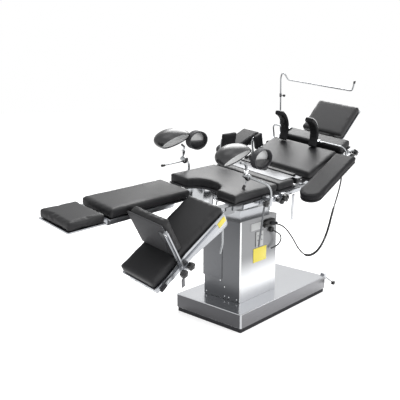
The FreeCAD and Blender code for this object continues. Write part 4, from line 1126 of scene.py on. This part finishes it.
@dataclass
class ColumnFace(FittingSet):
    """Plates, panel, sockets and screws on the column, a seam strip on the end corner in near-white
    steel as a painted highlight, and a dark sheet over the end face as painted shade.
    """

    face: float = -141.3
    end: float = -332.6

    def fittings(self) -> list[Fitting]:
        """List the fittings of the near face and of the leg end."""
        near, end = self.face, self.end
        block, rod = Piece.block, Piece.rod
        buttons = ((-168, 500), (-130, 500), (-168, 470), (-130, 470), (-149, 444))
        screws = ((-120, 132), (-60, 132), (-26, 190), (-26, 132), (8, 226), (120, 132))
        rows = [
            ("plate_yellow", YELLOW,
             [(block, (-208, near - 1.8, 335), (-76, near, 423), 0.8)], "column_plates"),
            ("plate_pale", PALE,
             [(block, (-234, near - 1.6, 537), (-122, near, 581), 0.7)], "column_plates"),
            ("switch_panel", PALE,
             [(block, (-185, near - 4, 430), (-113, near, 524), 1.5)], "column_controls"),
            ("switch_buttons", GREY_GRIP,
             [(rod, (x, near - 3.5, z), (x, near - 6, z), 4.5, 0.8, 20) for x, z in buttons]),
            ("connector_block", PLASTIC, [
                (block, (-92, near - 18, 540), (-8, near, 584), 5),
                (rod, (-34, near, 516), (-34, near - 15, 516), 18, 2),
                (rod, (-76, near - 10, 573), (-116, near - 12, 570), 9, 2),
                (rod, (-76, near - 10, 552), (-116, near - 12, 549), 9, 2),
            ], "column_controls"),
            ("cord_plug", RUBBER, [(rod, (-66, -163, 564), (-28, -186, 560), 9.5, 2)]),
            # A dark sheet over the column's end face, and the end panel in the same dark steel:
            # painted shade on the face turned from the light.
            ("column_end_shade_sheet", BRUSHED_DARK,
             [(block, (end - 1.2, -139, 116), (end, 139, 608), 0.5)]),
            ("column_end_panel", BRUSHED_DARK,
             [(block, (end - 4.4, -4, 236), (end - 1.2, 148, 600), 1.2)]),
            # The seam strip on the end corner in near-white steel: painted highlight.
            ("column_edge_highlight", HIGHLIGHT_STEEL,
             [(block, (end - 1.8, -142.4, 116), (end + 8, -138.6, 608), 0.8)]),
            ("column_screws", POLISHED,
             [(rod, (end, y, z), (end - 3.4, y, z), 4.2, 0.8, 16) for y, z in screws]),
        ]
        return [Fitting(name, FRAMES.world, "base", *values) for name, *values in rows]


@dataclass
class BaseShadePlates(FittingSet):
    """Thin side and end plates on the base cover, darker than its top: painted shade on the faces
    turned from the light.
    """

    length: float = 465.0
    width: float = 257.0

    def fittings(self) -> list[Fitting]:
        """List the plates."""
        x, y, world = self.length, self.width, FRAMES.world
        return [
            Fitting("base_side_shade_plate", world, "base", BASE_SIDE_SHADE,
                    [(Piece.block, (-x + 9, -y - 1.0, 30), (x - 9, -y + 0.4, 110), 0.4)]),
            Fitting("base_end_shade_plate", world, "base", BASE_END_SHADE,
                    [(Piece.block, (-x - 1.0, -y + 9, 30), (-x + 0.4, y - 9, 110), 0.4)]),
        ]


@dataclass
class FootBoardTrim(FittingSet):
    """Back plate, bolt, levers and side beam of the near leg and its foot board."""

    beam_y: float = -255.8
    plate_y: float = -257.6

    def fittings(self) -> list[Fitting]:
        """List the trim."""
        beam = [(-330, 36), (-20, 32), (-14, 6), (-18, -46), (-28, -57), (-70, -56), (-320, -20),
                (-540, -8), (-540, 10)]
        plate = [(-84, 10), (-24, 14), (-20, -20), (-78, -25)]
        grip = [(-418, -14), (-438, -18), (-456, -58), (-436, -62)]
        bar = [(-396, 258), (-374, 258), (-374, -8), (-396, -8)]
        rows = [
            ("foot_board_back", "foot_near", BOARD,
             (Piece.block, (-383.4, -248.4, 69), (-374.9, -7.6, 286), 2)),
            ("foot_board_bolt", "foot_near", POLISHED,
             (Piece.rod, (-390, -271, 246), (-396, -271, 246), 8, 1.5, 6)),
            ("foot_board_grip", "foot_near", GREY_GRIP,
             (Piece.slab, [(x, -309, z) for x, z in grip], (0, 9, 0), 2)),
            ("leg_end_lever", "leg_near", ROD_STEEL,
             (Piece.rod, (-478, -264, 4), (-508, -270, 6), 4.5, 1)),
            ("leg_end_handle", "leg_near", RUBBER,
             (Piece.rod, (-506, -270, 6), (-548, -272, 4), 9, 3)),
            ("leg_side_beam", "leg_near", RAIL_STEEL,
             (Piece.slab, [(x, self.beam_y, z) for x, z in beam], (0, 3, 0), 0.6)),
            ("leg_plate_yellow", "leg_near", YELLOW,
             (Piece.slab, [(x, self.plate_y, z) for x, z in plate], (0, 1.8, 0), 0.4)),
            ("foot_board_bar", "foot_near", RAIL_STEEL,
             (Piece.slab, [(x, -266, z) for x, z in bar], (0, 3, 0), 0.8)),
        ]
        return [Fitting(name, FRAMES.leg_near, body, finish, [shape])
                for name, body, finish, shape in rows]


@dataclass
class TopCovers(FittingSet):
    """Steel plate on the rear seat cushion as a painted highlight, kidney cushion and plates of the
    arm boards.
    """

    plate_t: float = 7.4
    half_w: float = 66.5
    pin_gap: float = 9.4
    bush_r: float = 16.0
    bush_h: float = 18.0

    def fittings(self) -> list[Fitting]:
        """List the covers."""
        top, back = FRAMES.top, FRAMES.back
        bush = (Piece.bush, self.pin_gap, self.bush_r, -self.plate_t - self.bush_h, -self.plate_t)
        rows = [
            ("near", back @ shift(272, -330, -28) @ turn("Z", 5.0), -503),
            ("far", back @ shift(205, 377, 22), -328),
        ]
        return [
            # A thin steel plate on the rear seat cushion stands for the seat's highlight: painted
            # highlight.
            Fitting("seat_highlight_plate", top, "seat", SEAT_HIGHLIGHT_STEEL,
                    [(Piece.block, (76, -222, 152), (211, 222, 154), 0.6)]),
            Fitting("seat_cover_knob", top, "seat", PLASTIC,
                    [(Piece.rod, (182, -18, 153.5), (182, -18, 162), 15, 2)]),
            Fitting("kidney_bar", top, "kidney", LEATHER, [
                (Piece.block, (221, -202, 146.5), (262, 202, 159), 4),
                (Piece.block, (214, -240, 110), (265, 240, 139.5), 5),
            ]),
        ] + [
            Fitting("arm_board_plate_" + tag, place, "arm_" + tag, BOARD, [
                (Piece.tongue, (end, -self.half_w, -self.plate_t), (24, self.half_w, 0)), bush,
            ], "arm_plate_" + tag) for tag, place, end in rows
        ]


@dataclass(frozen=True)
class LegHolder(FittingSet):
    """One leg holder's padded shell, pale lining, strap loop with a pale disc as a painted
    highlight, and stem.
    """

    tag: str
    centre: Spot
    radii: Spot
    loop: Spot
    loop_size: tuple[float, float]
    stem: tuple[Spot, ...]
    joint: tuple[Spot, Spot]
    lever: tuple[Spot, Spot]
    opening: Spot = (0.14, -0.75, -0.64)
    padding: float = 8.4

    def fittings(self) -> list[Fitting]:
        """List the holder's pieces, most of them on the body that tilts."""
        trough, holder = "trough_" + self.tag, "holder_" + self.tag
        inner = [radius - self.padding for radius in self.radii]
        across, high = self.loop_size
        pad = (across - 6.5, 21, high - 6.5)
        foot, start, end = (Vector(spot) for spot in (self.stem[0], *self.lever))
        way = (end - start).normalized()
        rows = [
            ("shell", trough, SHELL,
             [(Piece.dome, self.centre, self.radii, self.opening, 24, 8)],
             "holder_trough_" + self.tag, 50),
            ("lining", trough, PALE_LINER_AND_HIGHLIGHT,
             [(Piece.dome, self.centre, inner, self.opening, 20, 2)], "", 60),
            ("loop", trough, WEBBING,
             [(Piece.band, self.loop, across, high, 6, 34, 6)], "holder_strap_" + self.tag, 50),
            ("loop_pad", trough, SHELL,
             [(Piece.dome, self.loop, pad, (0.1, 0, 1), -high * 0.1, 20)], "", 50),
            # A pale disc inside the strap loop: painted highlight.
            ("loop_highlight_disc", trough, PALE_LINER_AND_HIGHLIGHT,
             [(Piece.oval, self.loop, across - 7, high - 7, 13, 15)], "", 60),
            ("loop_cover", trough, SHELL,
             [(Piece.oval, self.loop, across - 7, high - 7, 15.2, 17)], "", 60),
            ("stem", trough, ROD_STEEL, [
                (Piece.pipe, self.stem, 6.5, 16, 10),
                (Piece.rod, foot - Vector((0, 8, 8)), foot + Vector((0, 8, -8)), 12, 1.5),
            ]),
            ("joint", trough, POLISHED, [(Piece.rod, *self.joint, 13, 2.5, 24)]),
            ("lever", holder, ROD_STEEL, [(Piece.rod, *self.lever, 4, 1, 14)]),
            ("lever_tip", holder, GLOSS_PLASTIC, [
                (Piece.rod, end - way * 12, end + way * 14, 8, 3, 20), (Piece.ball, start, 16),
            ]),
        ]
        return [Fitting(f"holder_{part}_{self.tag}", FRAMES.top, *values)
                for part, *values in rows]


LEG_HOLDERS = (
    LegHolder(
        "far", (-425, 206, 368), (131, 68, 58), (-222, 206, 337), (78, 55),
        ((-265, 271, 222), (-272, 262, 262), (-300, 228, 300), (-340, 212, 322)),
        ((-268, 268, 240), (-280, 254, 274)), ((-265, 250, 206), (-442, 250, 204)),
    ),
    LegHolder(
        "near", (-345, -176, 350), (131, 74, 63), (-90, -176, 296), (83, 60),
        ((-214, -165, 222), (-216, -172, 262), (-240, -176, 292), (-280, -176, 300)),
        ((-213, -170, 204), (-215, -174, 246)), ((-214, -186, 206), (-240, -186, 158)),
    ),
)


@dataclass
class RailTrim(FittingSet):
    """Bars and levers that hang from the seat, the shoulder plates and the screen post."""

    screen_y: float = 292.0

    def fittings(self) -> list[Fitting]:
        """List the trim."""
        top, back, pipe, rod = FRAMES.top, FRAMES.back, Piece.pipe, Piece.rod
        arcs = (("far", (182, 150, 108), 156.5), ("near", (192, -80, 103), 153.5))
        bar = [(126, -279, 72), (152, -279, 72), (174, -279, -98), (150, -279, -100)]
        catch = [(-452, -232, 36), (-452, -240, -52), (-444, -240, -108), (-456, -240, -164)]
        ring = [(x, y, -10) for x, y in
                ((-150, -362), (-106, -378), (-92, -410), (-134, -440), (-190, -424))]
        y = self.screen_y
        screen = [(452, y, -180), (452, y, -10), (497, y, 362), (500, 282, 392),
                  (500, 258, 392), (500, 234, 352), (502, -250, 352), (502, -260, 368),
                  (502, -270, 414)]
        return [
            Fitting("hanging_bar", top, "seat", RAIL_STEEL, [(Piece.slab, bar, (0, 4, 0), 1)]),
            Fitting("hanging_rod", top, "seat", BRUSHED_DARK, [
                (pipe, [(-158, -284, 66), (-162, -284, 40), (-166, -284, -186)], 5.5, 14, 6),
            ]),
            Fitting("leg_catch", top, "knuckle_near", ROD_STEEL, [(pipe, catch, 5, 12, 14)]),
        ] + [
            Fitting("shoulder_plate_" + tag, back, "shoulder_" + tag, POLISHED,
                    [(Piece.arc, centre, radius, 3, 40, -42, 52)])
            for tag, centre, radius in arcs
        ] + [
            Fitting("shoulder_link_near", back, "shoulder_near", ROD_STEEL,
                    [(Piece.block, (312, -92, 8), (346, -68, 22), 2)]),
            Fitting("head_base_plate", FRAMES.head, "head", BOARD,
                    [(Piece.block, (4, -158, -58), (266, 158, -45.5), 3)]),
            Fitting("arm_board_ring", back, "arm_near", RUBBER, [(pipe, ring, 4.5, 12, 16)]),
            Fitting("screen_post", back, "screen", ROD_STEEL,
                    [(pipe, screen, 5.2, 16, 15)], "screen_bow"),
            Fitting("screen_sleeves", back, "screen", BRUSHED_DARK, [
                (rod, (465, y, 96), (467.5, y, 118), 7.5, 1.5),
                (rod, (480, y, 224), (483, y, 250), 8, 1.5),
                (rod, (481, y, 238), (481, 268, 238), 3.5),
            ]),
            Fitting("screen_tips", back, "screen", GLOSS_PLASTIC, [
                (Piece.ball, (481, 262, 238), 10),
                (rod, (502, -268, 404), (502, -272, 420), 7, 2),
            ]),
        ]


# Cords

@dataclass
class Cords:
    """The coiled cord of the hand control and the short loop on the column."""

    coil_radius: float = 9.0
    wire_radius: float = 3.5
    lead_share: float = 1.3
    lead_step: float = 0.012
    pitch: float = 8.0
    turn_steps: int = 10
    coil_start: float = 0.2
    coil_end: float = 0.66
    taper: float = 0.03
    chord_share: float = 0.965
    loop_radius: float = 4.5
    control_route: tuple[Spot, ...] = (
        (434, -300, 560), (410, -292, 462), (360, -286, 372), (290, -276, 318),
        (200, -262, 312), (124, -250, 372), (70, -240, 452), (6, -228, 528),
        (-34, -206, 559), (-60, -164, 562),
    )
    control_ends: tuple[Spot, Spot] = ((319, -286.3, -168.4), (319, -286.3, -222))
    loop_route: tuple[Spot, ...] = (
        (-34, -160, 512), (-6, -172, 496), (30, -176, 470), (38, -172, 434), (4, -166, 404),
        (-44, -156, 398),
    )

    def spline(self, name: str, points: Sequence[Vector], steps: int = 12) -> bpy.types.Object:
        """Make a smooth NURBS curve through its control points.

        Args:
            name: the curve's name.
            points: control points in metres.
            steps: points drawn between two control points.

        Returns:
            The curve object.
        """
        data = bpy.data.curves.new(name, "CURVE")
        data.dimensions = "3D"
        data.resolution_u = steps
        line = data.splines.new("NURBS")
        line.points.add(len(points) - 1)
        for target, spot in zip(line.points, points):
            target.co = (*spot, 1.0)
        line.order_u = 3
        line.use_endpoint_u = True
        return linked(name, data)

    def line(self, points: Sequence[Vector]) -> list[Vector]:
        """Return the points along the smooth line of a route."""
        guide = self.spline("line_guide", points)
        bpy.context.view_layer.update()
        data = evaluated(guide)
        route = [v.co.copy() for v in data.vertices]
        bpy.data.meshes.remove(data)
        bpy.data.objects.remove(guide)
        return route

    def sheathe(self, cord: bpy.types.Object, radius: float, rounds: int) -> None:
        """Give a curve a round section and the cable's finish, and hang it on the base."""
        cord.data.bevel_depth = radius * MM
        cord.data.bevel_resolution = rounds
        cord.data.use_fill_caps = True
        cord.data.materials.append(CABLE.material())
        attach(cord, "base")

    def build(self) -> None:
        """Build both cords."""
        self.build_control_cord()
        self.build_loop()

    def build_control_cord(self) -> None:
        """Build the hand control's cord: thin leads with a tight coil between them."""
        points = [FRAMES.back @ (Vector(p) * MM) for p in self.control_ends]
        points += [Vector(p) * MM for p in self.control_route]
        path, swells = self.coil(self.line(points))
        cord = self.spline("control_cord", path, 2)
        for point, swell in zip(cord.data.splines[0].points, swells):
            point.radius = 1.0 if swell > 0 else self.lead_share
        self.sheathe(cord, self.wire_radius, 2)
        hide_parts("hand_control_cord")

    def coil(self, route: list[Vector]) -> tuple[list[Vector], list[float]]:
        """Wind the middle stretch of a route into a helix.

        Args:
            route: points along the cord's line.

        Returns:
            Control points of the cord's own spline, and how far each lies on the coil.
        """
        lengths = [0.0]
        for one, other in zip(route, route[1:]):
            lengths.append(lengths[-1] + (other - one).length)
        total = lengths[-1]
        path, swells = [], []
        index, angle, travelled = 0, 0.0, 0.0
        up = (route[1] - route[0]).orthogonal().normalized()
        while travelled < total:
            while index < len(route) - 2 and lengths[index + 1] < travelled:
                index += 1
            share = (travelled - lengths[index]) / (lengths[index + 1] - lengths[index])
            spot = route[index].lerp(route[index + 1], share)
            way = (route[index + 1] - route[index]).normalized()
            up = (up - way * up.dot(way)).normalized()
            place = travelled / total
            inside = min(place - self.coil_start, self.coil_end - place)
            swell = min(1.0, max(0.0, inside / self.taper))
            swells.append(swell)
            if swell > 0:
                angle += 2 * math.pi / self.turn_steps
                reach = (self.coil_radius - self.wire_radius) * MM * swell
                side = up * math.cos(angle) + way.cross(up) * math.sin(angle)
                path.append(spot + side * reach)
                travelled += self.pitch * MM / self.turn_steps
            else:
                path.append(spot)
                travelled += self.lead_step
        return path + [route[-1]], swells + [0.0]

    def build_loop(self) -> None:
        """Build the short loop of cable between the socket and the column."""
        points = [Vector(p) * MM for p in self.loop_route]
        loop = self.spline("column_loop", points)
        self.sheathe(loop, self.loop_radius, 4)
        route = self.line(points)
        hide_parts("column_loop_cord")


# Stage, lights and camera

@dataclass
class Studio:
    """White studio: floor, sky, soft lamps and the camera of the photograph."""

    azimuth: float = 47.5
    elevation: float = 11.5
    lens: float = 49.53
    sensor: float = 36.0
    camera_spot: Spot = (-2.768, -2.057, 1.345)
    shift_x: float = -0.001
    shift_y: float = 0.011
    sky_light: float = 0.62
    floor_glow: float = 0.62
    floor_size: float = 30.0
    aim: Spot = (-0.2, 0.0, 0.7)
    lamps: tuple[tuple[str, float, float, Spot], ...] = (
        ("lamp_above", 1.8, 18.0, (-0.6, -1.3, 3.4)),
        ("lamp_near", 2.2, 38.0, (0.9, -3.4, 2.2)),
        ("lamp_foot", 2.0, 6.0, (-3.6, 0.4, 2.4)),
        ("lamp_back", 2.4, 150.0, (2.0, 1.25, 3.4)),
    )

    def build(self) -> None:
        """Build the whole stage."""
        self.build_floor()
        self.build_sky()
        for lamp in self.lamps:
            self.build_lamp(*lamp)
        self.build_camera()
        bpy.context.scene.view_settings.view_transform = "Standard"

    def seen(self, tree: bpy.types.NodeTree) -> Socket:
        """Return 1 for rays from the camera, glossy and transmission rays, else 0."""
        path = tree.nodes.new("ShaderNodeLightPath")
        total = path.outputs["Is Camera Ray"]
        for name in ("Is Glossy Ray", "Is Transmission Ray"):
            node = tree.nodes.new("ShaderNodeMath")
            node.operation = "MAXIMUM"
            tree.links.new(total, node.inputs[0])
            tree.links.new(path.outputs[name], node.inputs[1])
            total = node.outputs[0]
        return total

    def build_floor(self) -> None:
        """Build the pale floor, white to the camera apart from the object's shadow."""
        mesh = bmesh.new()
        bmesh.ops.create_grid(mesh, x_segments=1, y_segments=1, size=self.floor_size)
        floor = solid("floor", mesh)
        graph = Graph("studio_floor")
        set_inputs(graph.shader, base_color=(0.8, 0.8, 0.8, 1), roughness=0.9, emission_color=WHITE)
        glow = graph.add("ShaderNodeMath", operation="MULTIPLY")
        graph.join(self.seen(graph.tree), glow.inputs[0])
        glow.inputs[1].default_value = self.floor_glow
        graph.join(glow.outputs[0], graph.shader.inputs["Emission Strength"])
        floor.data.materials.append(graph.material)

    def build_sky(self) -> None:
        """Build the sky: white where it is seen, softer as light."""
        world = bpy.data.worlds.new("studio_sky")
        world.use_nodes = True
        tree = world.node_tree
        sky = set_inputs(tree.nodes["Background"], color=WHITE)
        level = tree.nodes.new("ShaderNodeMapRange")
        set_inputs(level, to_min=self.sky_light, to_max=1.0)
        tree.links.new(self.seen(tree), level.inputs["Value"])
        tree.links.new(level.outputs["Result"], sky.inputs["Strength"])
        bpy.context.scene.world = world

    def build_lamp(self, name: str, size: float, power: float, spot: Point) -> None:
        """Build one soft square lamp that looks at the middle of the table."""
        light = bpy.data.lights.new(name, "AREA")
        light.shape = "SQUARE"
        light.size = size
        light.energy = power
        lamp = linked(name, light)
        lamp.location = spot
        way = Vector(self.aim) - Vector(spot)
        lamp.rotation_euler = way.to_track_quat("-Z", "Y").to_euler()
        lamp.visible_camera = False

    def build_camera(self) -> None:
        """Place the camera at the photograph's angle."""
        data = bpy.data.cameras.new("camera")
        data.lens = self.lens
        data.sensor_width = self.sensor
        data.shift_x = self.shift_x
        data.shift_y = self.shift_y
        camera = linked("camera", data)
        around, above = math.radians(self.azimuth), math.radians(self.elevation)
        level = math.cos(above)
        way = Vector((math.sin(around) * level, math.cos(around) * level, -math.sin(above)))
        camera.location = self.camera_spot
        camera.rotation_euler = way.to_track_quat("-Z", "Y").to_euler()
        bpy.context.scene.camera = camera


def main() -> None:
    """Build the looks in order: camera and cords, finishes, cushions, fittings."""
    logging.basicConfig(level=logging.INFO)
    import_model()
    Studio().build()
    Cords().build()
    Frame().build()
    CushionSet().build()
    fittings = (Knobs(), ColumnFace(), BaseShadePlates(), FootBoardTrim(), TopCovers(), RailTrim())
    for part in (*fittings, *LEG_HOLDERS):
        part.build()


if __name__ == "__main__":
    main()
